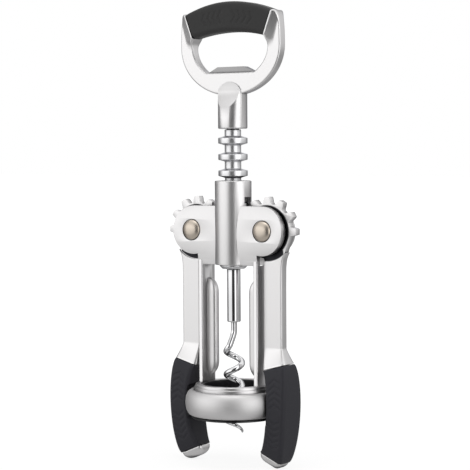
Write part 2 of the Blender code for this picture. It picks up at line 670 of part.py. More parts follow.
def gear_outline():
    """The right wing's toothed sector with the web that carries its arm, as x and z from the pivot.

    A tooth points straight at the axis at rest, where it stands in a groove of the rack.
    """
    base = PITCH_RADIUS * math.cos(PRESSURE_ANGLE)
    shoulder = GEAR_TIP_RADIUS - TIP_ROUNDING
    flank = [
        (GEAR_ROOT_RADIUS, tooth_half_angle(base) + TIP_ROUNDING / GEAR_ROOT_RADIUS),
        (base, tooth_half_angle(base)),
        ((base + shoulder) / 2.0, tooth_half_angle((base + shoulder) / 2.0)),
        (shoulder, tooth_half_angle(shoulder)),
        (GEAR_TIP_RADIUS, tooth_half_angle(GEAR_TIP_RADIUS) - TIP_ROUNDING / GEAR_TIP_RADIUS)]
    points = []
    for tooth in range(SECTOR_TEETH):
        middle = tooth * TOOTH_ANGLE
        points += [(radius, middle - half) for radius, half in flank]
        points += [(radius, middle + half) for radius, half in reversed(flank)]
    outline = [(radius * math.cos(angle), radius * math.sin(angle)) for radius, angle in points]
    first = points[-1][1]
    inner_edge = ARM_INSIDE - PIVOT_REACH
    last = 1.5 * math.pi + math.asin(inner_edge / GEAR_ROOT_RADIUS)
    steps = 6
    for step in range(1, steps + 1):
        angle = first + (last - first) * step / steps
        outline.append((GEAR_ROOT_RADIUS * math.cos(angle), GEAR_ROOT_RADIUS * math.sin(angle)))
    web_bottom = -SHOULDER_RADIUS - ARM_HALF_DEPTH
    web_edge = ARM_OUTSIDE - PIVOT_REACH - ARM_ROUNDING
    outline += [(inner_edge + ARM_ROUNDING, web_bottom), (web_edge, web_bottom)]
    web_shares = ((0.72, -0.87), (0.82, -0.6), (0.965, -0.26))
    outline += [(GEAR_ROOT_RADIUS * across, GEAR_ROOT_RADIUS * height) for across, height in web_shares]
    return outline


def bow(share):
    """How far the wing's grip has swelled at a share of its length: none at its ends, all at its middle."""
    return max(4.0 * share * (1.0 - share), 0.0) ** 0.62


def grip_rails(share):
    """The inside and outside points of the wing's grip, and its half depth, at a share of its length."""
    inside = GRIP_TOP_INSIDE.lerp(GRIP_END_INSIDE, share)
    outside = GRIP_TOP_OUTSIDE.lerp(GRIP_END_OUTSIDE, share)
    half_depth = GRIP_TOP_HALF_DEPTH + (GRIP_END_HALF_DEPTH - GRIP_TOP_HALF_DEPTH) * share
    inside.x += (GRIP_BELLY_INSIDE - (GRIP_TOP_INSIDE.x + GRIP_END_INSIDE.x) / 2.0) * bow(share)
    outside.x += (GRIP_BELLY_OUTSIDE - (GRIP_TOP_OUTSIDE.x + GRIP_END_OUTSIDE.x) / 2.0) * bow(share)
    half_depth += (GRIP_BELLY_HALF_DEPTH - (GRIP_TOP_HALF_DEPTH + GRIP_END_HALF_DEPTH) / 2.0) * bow(share)
    return inside, outside, half_depth


def core_section(share, clearance=0.0, shift=None):
    """The core that runs through the wing's grip, at a share of the grip's length."""
    inside, outside, _ = grip_rails(share)
    middle = (inside + outside) / 2.0
    across = (outside - inside).normalized() * CORE_HALF_WIDTH
    if shift is not None:
        middle = middle + shift
    return section(middle - across, middle + across, CORE_HALF_DEPTH, CORE_ROUNDING + clearance, -clearance)


GRIP_SHARES = (0.0, 0.06, 0.14, 0.25, 0.37, 0.5, 0.63, 0.75, 0.86, 0.94, 1.0)


def arm_sections():
    """The flat arm from above its shoulder to the grip, its core inside the grip, and its round tip."""
    top = PIVOT_HEIGHT - SHOULDER_RADIUS
    horn_shares = ((0.4, 0.26), (0.16, 0.1), (-0.05, 0.02), (-0.35, 0.0))
    sections = []
    for rise, spread in horn_shares:
        height = top + SHOULDER_RADIUS * rise
        inside = Vector((ARM_INSIDE, 0.0, height))
        outside = Vector((ARM_OUTSIDE + (ARM_OUTSIDE - ARM_INSIDE) * spread, 0.0, height))
        sections.append(section(inside, outside, ARM_HALF_DEPTH, ARM_ROUNDING))
    end_across = (GRIP_TOP_OUTSIDE - GRIP_TOP_INSIDE).normalized()
    lift = Vector((-end_across.z, 0.0, end_across.x)) * SEAT_GAP
    for share in (0.0, 0.25, 0.5, 0.7, 0.85, 1.0):
        swell = share ** 1.2
        start_inside = Vector((ARM_INSIDE, 0.0, ARM_SWELL_START))
        start_outside = Vector((ARM_OUTSIDE, 0.0, ARM_SWELL_START))
        inside = start_inside.lerp(GRIP_TOP_INSIDE + lift, share)
        outside = start_outside.lerp(GRIP_TOP_OUTSIDE + lift, share)
        inside.x = ARM_INSIDE + (GRIP_TOP_INSIDE.x + lift.x - ARM_INSIDE) * swell
        outside.x = ARM_OUTSIDE + (GRIP_TOP_OUTSIDE.x + lift.x - ARM_OUTSIDE) * swell
        half_depth = ARM_HALF_DEPTH + (GRIP_TOP_HALF_DEPTH - ARM_HALF_DEPTH) * swell
        rounding = ARM_ROUNDING + (GRIP_ROUNDING - ARM_ROUNDING) * swell
        sections.append(section(inside, outside, half_depth, rounding))
    sections.append(core_section(0.0, 0.0, lift))
    sections += [core_section(share) for share in GRIP_SHARES[1:-1]]
    across = (GRIP_END_OUTSIDE - GRIP_END_INSIDE).normalized()
    down = Vector((across.z, 0.0, -across.x))
    drop = down * SEAT_GAP
    sections.append(core_section(1.0, 0.0, drop))
    steps = 5
    for step in range(steps + 1):
        angle = math.pi / 2.0 * step / steps
        fall = drop + down * TIP_RISE * math.sin(angle)
        inset = TIP_INSET + (GRIP_END_HALF_DEPTH - 2.0 * TIP_INSET) * (1.0 - math.cos(angle))
        sections.append(section(
            GRIP_END_INSIDE + fall, GRIP_END_OUTSIDE + fall, GRIP_END_HALF_DEPTH, GRIP_ROUNDING, inset))
    return sections


def build_wing(side, word, group):
    """One wing: the lever with its toothed sector, arm, core and tip in one casting, and its soft grip."""
    pivot = Vector((side * PIVOT_REACH, 0.0, PIVOT_HEIGHT))
    sector = plate_mesh(word + "_sector", [gear_outline()], GEAR_HALF_WIDTH)
    sector.transform(Matrix.Translation(Vector((PIVOT_REACH, 0.0, PIVOT_HEIGHT))))
    arm = tool(word + "_arm", mirrored(loft_mesh(word + "_arm", arm_sections()), side))
    reach = ARM_HALF_DEPTH + OVERRUN
    shoulder = bar_mesh(word + "_shoulder", SHOULDER_RADIUS, -reach, reach, ROUND_STEPS)
    across_depth(shoulder, side * PIVOT_REACH, PIVOT_HEIGHT)
    combine(arm, tool(word + "_shoulder", shoulder), 'DIFFERENCE')
    lever = place(word + "_wing_lever", mirrored(sector, side), group, SATIN_NICKEL, pivot)
    combine(lever, arm, 'UNION')
    reach = GEAR_HALF_WIDTH + OVERRUN
    bore = bar_mesh(word + "_lever_bore", PIN_RADIUS + PIN_CLEARANCE, -reach, reach)
    across_depth(bore, side * PIVOT_REACH, PIVOT_HEIGHT)
    combine(lever, tool(word + "_lever_bore", bore), 'DIFFERENCE')

    outer = []
    for share in GRIP_SHARES:
        inside, outside, half_depth = grip_rails(share)
        outer.append(section(inside, outside, half_depth, GRIP_ROUNDING))
    channel = [core_section(share, SEAT_GAP) for share in GRIP_SHARES]
    grip_mesh = mirrored(loft_mesh(word + "_wing_grip", outer, hollow=channel), side)
    grip = place(word + "_wing_grip", grip_mesh, group, SOFT_GRIP, pivot)
    bell_foot = BELL_DEPTH + SEAT_GAP + LINER_RIM + GRIP_BELL_CLEARANCE
    hollow_radius = BELL_RING_RADIUS + GRIP_BELL_CLEARANCE
    bell_head = BELL_RING_RISE + GRIP_BELL_CLEARANCE
    hollow = bar_mesh(word + "_bell_hollow", hollow_radius, -bell_foot, bell_head, ROUND_STEPS)
    combine(grip, tool(word + "_bell_hollow", hollow), 'DIFFERENCE')
    carrier = bpy.data.objects.new(word + "_wing_pivot", None)
    CUTTERS.objects.link(carrier)
    carrier.location = pivot
    for piece in (lever, grip):
        piece.parent = carrier
        piece.location = (0.0, 0.0, 0.0)


def loop_rails():
    """Stations up the right half of the handle, from the middle of its foot to the end of the grip."""
    stations = []
    corner = math.asin((HOLE_FLOOR - LOOP_CENTRE) / HOLE_DROP)
    low_steps = 3
    side_steps = 4
    for step in range(low_steps + side_steps + 1):
        if step < low_steps:
            angle = -math.pi / 2.0 + (corner + math.pi / 2.0) * step / low_steps
            inner_x = HOLE_HALF_WIDTH * math.cos(corner) * step / low_steps
            inner_z = HOLE_FLOOR
        else:
            angle = corner * (1.0 - (step - low_steps) / side_steps)
            inner_x = HOLE_HALF_WIDTH * math.cos(angle)
            inner_z = LOOP_CENTRE + HOLE_DROP * math.sin(angle)
        inside = Vector((inner_x, 0.0, inner_z))
        outer_z = LOOP_CENTRE + LOOP_DROP * math.sin(angle)
        outside = Vector((LOOP_HALF_WIDTH * math.cos(angle), 0.0, outer_z))
        stations.append((inside, outside, LOOP_HALF_DEPTH))
    for share in (0.22, 0.42, 0.6, 0.78, 0.9, 1.0):
        inside = Vector((HOLE_HALF_WIDTH, 0.0, LOOP_CENTRE)).lerp(HANDLE_END_INSIDE, share)
        turn = share * math.pi / 2.0
        spread = max(math.cos(turn), 0.0) ** 0.5
        outside = Vector((
            HANDLE_END_OUTSIDE.x + (LOOP_HALF_WIDTH - HANDLE_END_OUTSIDE.x) * spread, 0.0,
            LOOP_CENTRE + (HANDLE_END_OUTSIDE.z - LOOP_CENTRE) * math.sin(turn)))
        half_depth = LOOP_HALF_DEPTH + (HANDLE_HALF_DEPTH - LOOP_HALF_DEPTH) * smooth_share(share)
        stations.append((inside, outside, half_depth))
    return stations


def grip_arch(share):
    """The handle grip's inside and outside points and half depth, from its right end to its middle."""
    inside = HANDLE_END_INSIDE.copy()
    outside = HANDLE_END_OUTSIDE.copy()
    inside.x *= 1.0 - share
    outside.x *= 1.0 - share
    rise = 1.0 - (1.0 - share) ** 2
    inside.z += (HANDLE_UNDERSIDE - HANDLE_END_INSIDE.z) * rise
    outside.z += (HANDLE_CREST - HANDLE_END_OUTSIDE.z) * rise
    half_depth = HANDLE_HALF_DEPTH + (HANDLE_MIDDLE_HALF_DEPTH - HANDLE_HALF_DEPTH) * smooth_share(share)
    return inside, outside, half_depth


def handle_core(share, clearance=0.0):
    """The bar of metal inside the handle grip, at a share of the way from its end to its middle."""
    inside, outside, _ = grip_arch(share)
    cover = (outside - inside).normalized() * HANDLE_CORE_COVER
    rounding = HANDLE_CORE_ROUNDING + clearance
    return section(inside + cover, outside - cover, LOOP_HALF_DEPTH, rounding, -clearance)


def both_halves(half, through_top):
    """The sections of the right half, followed by the same turned over to the left, in reverse order."""
    other = [[Vector((-point.x, point.y, point.z)) for point in row] for row in reversed(half)]
    return half + (other[1:] if through_top else other)


def build_dowels(group):
    """The dowel that fixes the rack's stub in the handle's neck, and the one that fixes the worm's holder."""
    holder_height = RACK_END_TOP + RACK_GROOVE_LENGTH / 2.0
    dowels = []
    for word, radius, height, front, back, open_front in (
            ("handle_dowel", HANDLE_DOWEL_RADIUS, NECK_BOTTOM + STUB_LENGTH / 2.0,
             (STUB_RADIUS + NECK_RADIUS) / 2.0, NECK_RADIUS - DOWEL_SINK, 0.0),
            ("holder_dowel", HOLDER_DOWEL_RADIUS, holder_height,
             RACK_ROOT_RADIUS - DOWEL_SINK, RACK_ROOT_RADIUS - DOWEL_SINK, OVERRUN)):
        dowel = bar_mesh(word, radius, -back, front, DOWEL_STEPS)
        dowels.append(place(word, across_depth(dowel, 0.0, height), group, BRIGHT_STEEL))
        hole_front = front + max(open_front, SEAT_GAP)
        hole = bar_mesh(word + "_hole", radius + DOWEL_CLEARANCE, -back - OVERRUN, hole_front, DOWEL_STEPS)
        tool(word + "_hole", across_depth(hole, 0.0, height))
    return dowels


def build_handle(group):
    """The handle's ring with its neck and bottle-opener lip, and the soft grip over its top."""
    stations = [section(*rails, LOOP_ROUNDING) for rails in loop_rails()]
    arch_shares = (0.0, 0.12, 0.28, 0.46, 0.64, 0.82, 1.0)
    core = [handle_core(share) for share in arch_shares]
    ring = both_halves(stations + core, True)[:-1]
    handle = place("opener_handle", loft_mesh("opener_handle", ring, closed=True), group, SATIN_NICKEL)

    untrimmed = NECK_TOP + SEAT_GAP
    neck = tool("handle_neck", turned_mesh("handle_neck", [
        (0.0, untrimmed), (NECK_RADIUS, untrimmed), (NECK_RADIUS, NECK_BOTTOM + NECK_CHAMFER),
        (NECK_RADIUS - NECK_CHAMFER, NECK_BOTTOM), (0.0, NECK_BOTTOM)]))
    proud = LOOP_HALF_DEPTH + SEAT_GAP
    slope = (NECK_TOP - NECK_SLOPE_START) / (NECK_RADIUS - proud)
    far = NECK_RADIUS + OVERRUN
    for side, word in ((-1, "front"), (1, "back")):
        wedge = plate_mesh("neck_slope_" + word, [[
            (side * far, NECK_SLOPE_START - OVERRUN * slope), (side * proud, NECK_TOP),
            (side * proud, NECK_TOP + OVERRUN), (side * far, NECK_TOP + OVERRUN)]], far)
        wedge.transform(Matrix.Rotation(math.pi / 2.0, 4, 'Z'))
        combine(neck, tool("neck_slope_" + word, wedge), 'DIFFERENCE')
    arch = []
    for step in range(ROUND_STEPS // 2 + 1):
        angle = 2.0 * math.pi * step / ROUND_STEPS
        height = NECK_TOP - NECK_ARCH_RADIUS * (1.0 - math.sin(angle))
        arch.append((NECK_ARCH_RADIUS * math.cos(angle), height))
    foot = NECK_BOTTOM - OVERRUN
    arch += [(-NECK_ARCH_RADIUS, foot), (NECK_ARCH_RADIUS, foot)]
    combine(neck, tool("neck_arch", plate_mesh("neck_arch", [arch], far)), 'INTERSECT')
    combine(handle, neck, 'UNION')

    lip_top = HOLE_FLOOR + LIP_HEIGHT
    lip_foot = HOLE_FLOOR - LIP_HEIGHT
    lip_depth = (LOOP_HALF_DEPTH + LIP_FRONT - SEAT_GAP) / 2.0
    lip = plate_mesh("opener_lip", [[
        (-LIP_FOOT_HALF_WIDTH, lip_foot), (LIP_FOOT_HALF_WIDTH, lip_foot),
        (LIP_HALF_WIDTH, lip_top), (-LIP_HALF_WIDTH, lip_top)]], lip_depth)
    lip.transform(Matrix.Translation(Vector((0.0, (LOOP_HALF_DEPTH - LIP_FRONT - SEAT_GAP) / 2.0, 0.0))))
    combine(handle, tool("opener_lip", lip), 'UNION')
    socket_radius = STUB_RADIUS + STUB_CLEARANCE
    socket = bar_mesh("stub_socket", socket_radius, NECK_BOTTOM - OVERRUN, STUB_TOP + SEAT_GAP)
    combine(handle, tool("stub_socket", socket), 'DIFFERENCE')
    combine(handle, bpy.data.objects["handle_dowel_hole"], 'DIFFERENCE')

    first = SEAT_GAP / HANDLE_END_OUTSIDE.x
    outer = []
    channel = []
    for share in (first,) + arch_shares[1:]:
        inside, outside, half_depth = grip_arch(share)
        outer.append(section(inside, outside, half_depth, HANDLE_ROUNDING))
        channel.append(handle_core(share, SEAT_GAP))
    grip = loft_mesh("handle_grip", both_halves(outer, True), hollow=both_halves(channel, True))
    return handle, place("handle_grip", grip, group, SOFT_GRIP)


def rack_profile():
    """The rack's outline from its stub down to its end collar, with a ring for each tooth."""
    shoulder = NECK_BOTTOM - SEAT_GAP
    profile = [
        (0.0, STUB_TOP), (STUB_RADIUS, STUB_TOP), (STUB_RADIUS, shoulder), (RACK_ROOT_RADIUS, shoulder)]
    for ring in range(RINGS_ABOVE_PIVOT + RINGS_BELOW_PIVOT):
        centre = HIGHEST_RING - ring * TOOTH_PITCH
        profile += [
            (RACK_ROOT_RADIUS, centre + RING_ROOT_HEIGHT / 2.0),
            (RACK_RADIUS, centre + RING_RIM_HEIGHT / 2.0),
            (RACK_RADIUS, centre - RING_RIM_HEIGHT / 2.0),
            (RACK_ROOT_RADIUS, centre - RING_ROOT_HEIGHT / 2.0)]
    profile += [
        (RACK_ROOT_RADIUS, RACK_END_TOP),
        (RACK_END_RADIUS, RACK_END_TOP),
        (RACK_END_RADIUS, RACK_BOTTOM + RACK_END_CHAMFER),
        (RACK_END_RADIUS - RACK_END_CHAMFER, RACK_BOTTOM),
        (0.0, RACK_BOTTOM)]
    return profile


def build_spindle(group):
    """The rack shaft, the holder screwed into its end, and the worm fixed in the holder."""
    rack = place("rack_shaft", turned_mesh("rack_shaft", rack_profile()), group, POLISHED_CHROME)
    stub_top = HOLDER_TOP + HOLDER_STUB_LENGTH
    socket_radius = HOLDER_STUB_RADIUS + STUB_CLEARANCE
    socket = bar_mesh("holder_socket", socket_radius, RACK_BOTTOM - OVERRUN, stub_top + SEAT_GAP)
    combine(rack, tool("holder_socket", socket), 'DIFFERENCE')
    for word in ("handle_dowel_hole", "holder_dowel_hole"):
        combine(rack, bpy.data.objects[word], 'DIFFERENCE')

    holder_mesh = turned_mesh("worm_holder", [
        (0.0, stub_top), (HOLDER_STUB_RADIUS, stub_top), (HOLDER_STUB_RADIUS, HOLDER_TOP),
        (HOLDER_RADIUS, HOLDER_TOP), (HOLDER_RADIUS, HOLDER_BOTTOM + HOLDER_CHAMFER),
        (HOLDER_RADIUS - HOLDER_CHAMFER, HOLDER_BOTTOM), (0.0, HOLDER_BOTTOM)], SMALL_ROUND_STEPS)
    holder = place("worm_holder", holder_mesh, group, POLISHED_CHROME)
    shank_top = HOLDER_BOTTOM + WORM_SHANK
    shank_bore = bar_mesh(
        "shank_bore", WIRE_RADIUS + STUB_CLEARANCE, HOLDER_BOTTOM - OVERRUN, shank_top + SEAT_GAP)
    combine(holder, tool("shank_bore", shank_bore), 'DIFFERENCE')
    combine(holder, bpy.data.objects["holder_dowel_hole"], 'DIFFERENCE')

    worm = place("worm", worm_mesh(shank_top), group, BRIGHT_STEEL)
    return rack, holder, worm


def turning_height(height):
    """The height that the worm's angle is taken at: it stays level where the wire leaves the axis."""
    start = HOLDER_BOTTOM - WORM_TURN_START
    above = height - start + WORM_TURN_BLEND
    if above <= 0.0:
        return height
    if above >= 2.0 * WORM_TURN_BLEND:
        return start
    return height - above ** 2 / (4.0 * WORM_TURN_BLEND)


def worm_points(shank_top):
    """The middle line of the worm's wire from its shank's top to its point, and its thickness there."""
    points = [(Vector((0.0, 0.0, shank_top)), 1.0), (Vector((0.0, 0.0, HOLDER_BOTTOM)), 1.0)]
    step = WORM_PITCH / COIL_STEPS
    count = int(round((WORM_STRAIGHT_BOTTOM - WORM_TIP) / step))
    for index in range(count + 1):
        height = WORM_STRAIGHT_BOTTOM + (WORM_TIP - WORM_STRAIGHT_BOTTOM) * index / count
        swing = smooth_share((WORM_STRAIGHT_BOTTOM - height) / WORM_SWING_LENGTH)
        rise = turning_height(height) - WORM_RIGHTMOST_HEIGHT
        turn = WORM_RIGHTMOST_ANGLE + 2.0 * math.pi * rise / WORM_PITCH
        radius = WORM_COIL_RADIUS * swing
        thin = min(max((height - WORM_TIP) / WORM_POINT_LENGTH, 0.0), 1.0)
        thickness = WORM_POINT_RADIUS / WIRE_RADIUS
        thickness += (1.0 - thickness) * math.sqrt(thin)
        points.append((Vector((radius * math.cos(turn), radius * math.sin(turn), height)), thickness))
    return points


def worm_mesh(shank_top):
    """The worm: a right-handed helix of round wire that ends in a point."""
    curve = bpy.data.curves.new("worm_wire", 'CURVE')
    curve.dimensions = '3D'
    curve.bevel_depth = WIRE_RADIUS
    curve.bevel_resolution = 2
    curve.use_fill_caps = True
    points = worm_points(shank_top)
    spline = curve.splines.new('POLY')
    spline.points.add(len(points) - 1)
    for point, (place_of_point, thickness) in zip(spline.points, points):
        point.co = (*place_of_point, 1.0)
        point.radius = thickness
    item = bpy.data.objects.new("worm_wire", curve)
    CUTTERS.objects.link(item)
    bpy.context.view_layer.update()
    return solid_mesh(item, "worm")


def build_bush(group):
    """The guide bush in the tube's mouth, which turns with the spindle."""
    top = TUBE_TOP - SEAT_GAP
    bottom = TUBE_TOP - BUSH_LENGTH
    bush = turned_mesh("guide_bush", [
        (BUSH_RADIUS, top), (BUSH_RADIUS, bottom), (TUBE_BORE_RADIUS, bottom), (TUBE_BORE_RADIUS, top)])
    return place("guide_bush", bush, group, NYLON)


def main():
    """Build the corkscrew."""
    parts = new_collection("wing_corkscrew")
    build_frame(parts)
    build_bell(parts)
    build_pivots(parts)
    build_wing(1, "right", parts)
    build_wing(-1, "left", parts)
    pieces = [build_bush(parts)]
    pieces += build_dowels(parts)
    pieces += build_handle(parts)
    pieces += build_spindle(parts)
    axis = bpy.data.objects.new("spindle_axis", None)
    CUTTERS.objects.link(axis)
    for piece in pieces:
        piece.parent = axis
    for item in parts.objects:
        if item.type == 'MESH':
            shade(item.data)


clear_scene()
CUTTERS = new_collection("cutters")
main()
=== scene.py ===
"""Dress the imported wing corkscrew: smooth surfaces and finishes for every piece, a pale stage and a camera.

Every surface is worked out in millimetres in the model's own frame: the origin is the seat on the bottle's
lip, +Z is up the worm's axis, the wings swing to +X and -X, and the front is -Y.
"""

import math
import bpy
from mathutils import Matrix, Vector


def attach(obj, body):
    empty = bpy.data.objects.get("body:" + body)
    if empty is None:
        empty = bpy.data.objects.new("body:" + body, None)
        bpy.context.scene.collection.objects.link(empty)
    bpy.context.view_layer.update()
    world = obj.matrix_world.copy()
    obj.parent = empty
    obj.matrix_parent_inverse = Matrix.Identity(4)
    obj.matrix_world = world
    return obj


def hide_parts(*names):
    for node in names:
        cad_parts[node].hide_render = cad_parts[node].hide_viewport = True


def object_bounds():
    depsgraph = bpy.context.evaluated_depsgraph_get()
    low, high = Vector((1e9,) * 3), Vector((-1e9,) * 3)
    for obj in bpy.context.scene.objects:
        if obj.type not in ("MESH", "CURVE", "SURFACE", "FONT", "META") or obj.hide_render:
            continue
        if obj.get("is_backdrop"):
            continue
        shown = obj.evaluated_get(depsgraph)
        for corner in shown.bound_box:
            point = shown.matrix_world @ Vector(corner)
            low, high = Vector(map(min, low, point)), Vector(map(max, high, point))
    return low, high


bl_info = {
    "name": "Wing Corkscrew",
    "version": (1, 0, 0),
    "blender": (4, 5, 0),
    "location": "3D Viewport > Sidebar > Corkscrew",
    "description": "Builds the visible surfaces and finishes of a wing corkscrew round its packed model",
    "category": "Object",
}

from typing import NamedTuple

import bmesh
import bpy
import numpy as np
from bpy.props import FloatProperty, FloatVectorProperty, IntProperty, PointerProperty
from mathutils import Matrix, Vector

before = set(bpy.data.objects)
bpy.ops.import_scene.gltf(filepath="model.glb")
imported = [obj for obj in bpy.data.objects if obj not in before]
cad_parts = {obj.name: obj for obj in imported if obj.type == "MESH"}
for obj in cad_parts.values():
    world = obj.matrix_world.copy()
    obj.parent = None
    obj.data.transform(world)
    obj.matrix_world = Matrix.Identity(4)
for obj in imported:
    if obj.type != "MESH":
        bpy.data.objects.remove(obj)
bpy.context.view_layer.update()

MM = 0.001
MERGE = 2e-7
CUT_REACH = 9.0
SIDES = ((1, "right"), (-1, "left"))

# Frame casting
TUBE_RADIUS, TUBE_BORE, TUBE_BOTTOM, TUBE_TOP, TUBE_ROUND = 7.85, 6.5, 54.4, 90.2, 0.45
PIVOT_X, PIVOT_Z = 18.2, 69.1
CHEEK_X, CHEEK_RADIUS, CHEEK_DEPTH, CHEEK_EDGE_DEPTH, CHEEK_ROUND = 17.6, 10.4, 5.6, 4.3, 0.85
LEG_IN, LEG_OUT, LEG_DEPTH, LEG_ROUND = 13.2, 15.2, 4.8, 0.45
FIN_CREST, FIN_WIDTH, FIN_END_WIDTH, FIN_LOW, FIN_HIGH, FIN_TAPER = 8.3, 1.85, 0.3, 6.6, 48.4, 6.0
SLOT_DEPTH, SLOT_LOW, SLOT_HIGH, SLOT_IN = 2.4, 54.2, 83.3, 4.75
COLLAR_RADIUS, COLLAR_TOP, COLLAR_BORE = 17.2, 3.7, 14.2
COLLAR_RIM, COLLAR_RIM_LOW = 16.7, 2.4
SKIRT_INNER, SKIRT_LOW, COLLAR_LEDGE = 16.3, -8.3, 1.4
BUSH_RADIUS, BUSH_POCKET, BUSH_FLOOR, BUSH_LOW, BUSH_HIGH = 7.0, 7.1, 84.7, 85.0, 89.9

# Bell
RING_BORE, RING_RADIUS, RING_HIGH, RING_LOW = 17.5, 21.0, 1.1, -9.7
LINER_NECK_IN, LINER_NECK_OUT, LINER_IN, LINER_OUT = 12.8, 13.9, 14.9, 16.0
LINER_HIGH, LINER_LEDGE, LINER_RIM_HIGH, LINER_RIM_LOW, LINER_RIM = 3.4, 1.1, -10.0, -10.8, 18.5

# Pivot pins
PIN_RADIUS, PIN_HEAD, PIN_RISE, PIN_SEAT, RECESS_FLOOR, RECESS_RADIUS = 2.2, 4.4, 1.5, 5.2, 4.9, 4.7
HOLE_RADIUS, TAIL_RADIUS, TAIL_SEAT, TAIL_END = 2.3, 3.2, 6.1, 7.0
WASHER_LOW, WASHER_HIGH = 5.2, 5.8

# Wings
TOOTH_COUNT, TOOTH_TURN, PITCH_RADIUS, TOOTH_WIDTH = 8, math.pi / 6.0, 13.2162, 3.3
GEAR_TIP, GEAR_ROOT, GEAR_DEPTH, PRESSURE = 14.5, 11.6, 1.5, math.radians(20.0)
SHOULDER, ARM_IN, ARM_OUT, ARM_DEPTH, ARM_ROUND, ARM_SWELL_Z = 12.9, 16.7, 25.7, 2.1, 0.6, 19.9
GRIP_TOP = ((17.1, 10.3), (28.3, 13.3))
GRIP_END = ((15.4, -23.9), (26.0, -28.5))
GRIP_BELLY_IN, GRIP_BELLY_OUT = 20.2, 29.7
GRIP_TOP_DEPTH, GRIP_BELLY_DEPTH, GRIP_END_DEPTH, GRIP_ROUND = 4.6, 7.2, 4.3, 1.7
CORE_HALF, CORE_DEPTH, CORE_ROUND, CORE_CLEARANCE = 2.4, 2.0, 0.5, 0.3
BELL_CLEAR, BELL_FOOT, BELL_BROW, TIP_RISE, TIP_SINK = 21.5, (-12.6, -11.3), (1.2, 2.4), 3.55, 0.3
ARM_SHOULDER, ARM_HEIGHTS = ((62.5, 3.2), (58.0, 0.8), (54.0, 0.1)), (45.0, 32.0)

# Chevron grooves of each grip: how many, where the first one is, their pitch, slope and reach
WING_GROOVES, HANDLE_GROOVES = (5, 4.2, 2.6, 0.62, 3.1), (4, 4.4, 2.75, 0.6, 2.9)

# Handle
NECK_RADIUS, NECK_LOW, NECK_HIGH, NECK_ARCH = 6.25, 112.2, 132.0, 6.6
FACET_OUTLINE = ((9.0, 115.6), (3.0, 126.5), (2.5, 132.0), (2.5, 135.0), (9.0, 135.0))
LOOP_Z, LOOP_HALF, LOOP_DROP, LOOP_DEPTH, LOOP_ROUND = 147.0, 25.6, 20.8, 2.2, 0.7
HOLE_HALF, HOLE_DROP, HOLE_FLOOR = 19.2, 14.3, 136.0
END_IN, END_OUT = (18.2, 150.8), (22.2, 161.4)
CREST, UNDERSIDE, END_DEPTH, MIDDLE_DEPTH = 165.9, 153.0, 4.0, 4.4
SLEEVE_ROUND, SLEEVE_COVER, ARCH_ROUND = 2.2, 2.6, 0.6
RAMP_INSIDE, RAMP_OUTSIDE, RAMP_FLAT = 5.6, 3.6, 0.4
NECK_ROUND, FACET_ROUND, LIP_ROUND = 0.6, 12.0, 0.4
LIP_OUTLINE = ((-17.3, 133.6), (17.3, 133.6), (6.7, 138.4), (-6.7, 138.4))
LIP_BACK, LIP_FRONT, LIP_MIDDLE, LIP_LEAN, LIP_MARK = 1.9, -0.6, 135.4, 0.32, 12.4

# Spindle
RACK_RADIUS, RACK_ROOT, RACK_PITCH, RING_ROOT, RING_RIM = 6.25, 3.5, 6.92, 3.9, 2.3
RACK_LOW, RACK_END_HIGH, RACK_END, RACK_CHAMFER, RACK_HIGH = 52.7, 55.1, 5.9, 1.1, 111.9
STUB_RADIUS, STUB_TOP, STUB_BORE = 2.6, 122.2, 2.75
HOLDER_RADIUS, HOLDER_LOW, HOLDER_HIGH = 2.9, 29.9, 52.4
HOLDER_STUB, HOLDER_STUB_TOP, HOLDER_BORE = 1.9, 61.4, 2.05
SHANK_TOP, SHANK_BORE, SOCKET_GAP = 37.9, 1.45, 0.3
NECK_DOWEL_Z, NECK_DOWEL, NECK_DOWEL_HOLE, NECK_DOWEL_END = 117.2, 1.0, 1.1, 4.7
ROD_DOWEL_Z, ROD_DOWEL, ROD_DOWEL_HOLE = 56.03, 0.6, 0.7
WIRE, WIRE_TIP, COIL, WORM_PITCH, WORM_TIP, WORM_STRAIGHT, WORM_SWING = 1.3, 0.12, 3.35, 9.9, -17.7, 26.5, 9.2
TURN_START, TURN_BLEND, WORM_TAPER = 18.5, 2.0, 7.0
WORM_RIGHT_Z, WORM_RIGHT_ANGLE = 12.3, math.radians(35.0)

# The photograph's camera, in millimetres and degrees
CAMERA_TURN, CAMERA_DISTANCE, CAMERA_HEIGHT = 35.0, 734.0, 104.3
CAMERA_AIM, CAMERA_SIDE, CAMERA_ROLL, CAMERA_LENS = 67.0, 0.66, -0.36, 132.1

# The room's light at angles round from the camera, positive to the right
ROOM_LEVELS = (
    (-180.0, 1.0), (-168.0, 1.0), (-158.0, 0.18), (-112.0, 0.24), (-100.0, 0.5), (-32.0, 0.48),
    (-27.0, 0.045), (12.0, 0.045), (18.0, 0.45), (62.0, 0.6), (95.0, 0.52), (112.0, 0.46), (128.0, 0.36),
    (140.0, 0.24), (158.0, 0.18), (168.0, 1.0), (180.0, 1.0))
WALL_REACH, WALL_FOOT, WALL_TOP, GROUND_LEVEL = 1.6, -0.8, 1.5, 0.52
WALL_DIM, WALL_BRIGHT = (-0.15, 0.72), (0.30, 1.72)
LAMP_AIM, FLOOR_REACH, FLOOR_GAP = 70.0, 6.0, 0.2


def length(name, description, default, lowest, highest):
    """A length property, given in millimetres."""
    return FloatProperty(
        name=name, description=description, default=default * MM, min=lowest * MM, max=highest * MM,
        subtype='DISTANCE', unit='LENGTH', precision=5)


def colour(name, description, default):
    """A colour property, as linear values."""
    return FloatVectorProperty(
        name=name, description=description, subtype='COLOR', size=3, default=default, min=0.0, max=1.0)


def power(name, description, default):
    """A lamp's power property."""
    return FloatProperty(name=name, description=description, default=default, min=0.0, unit='POWER')


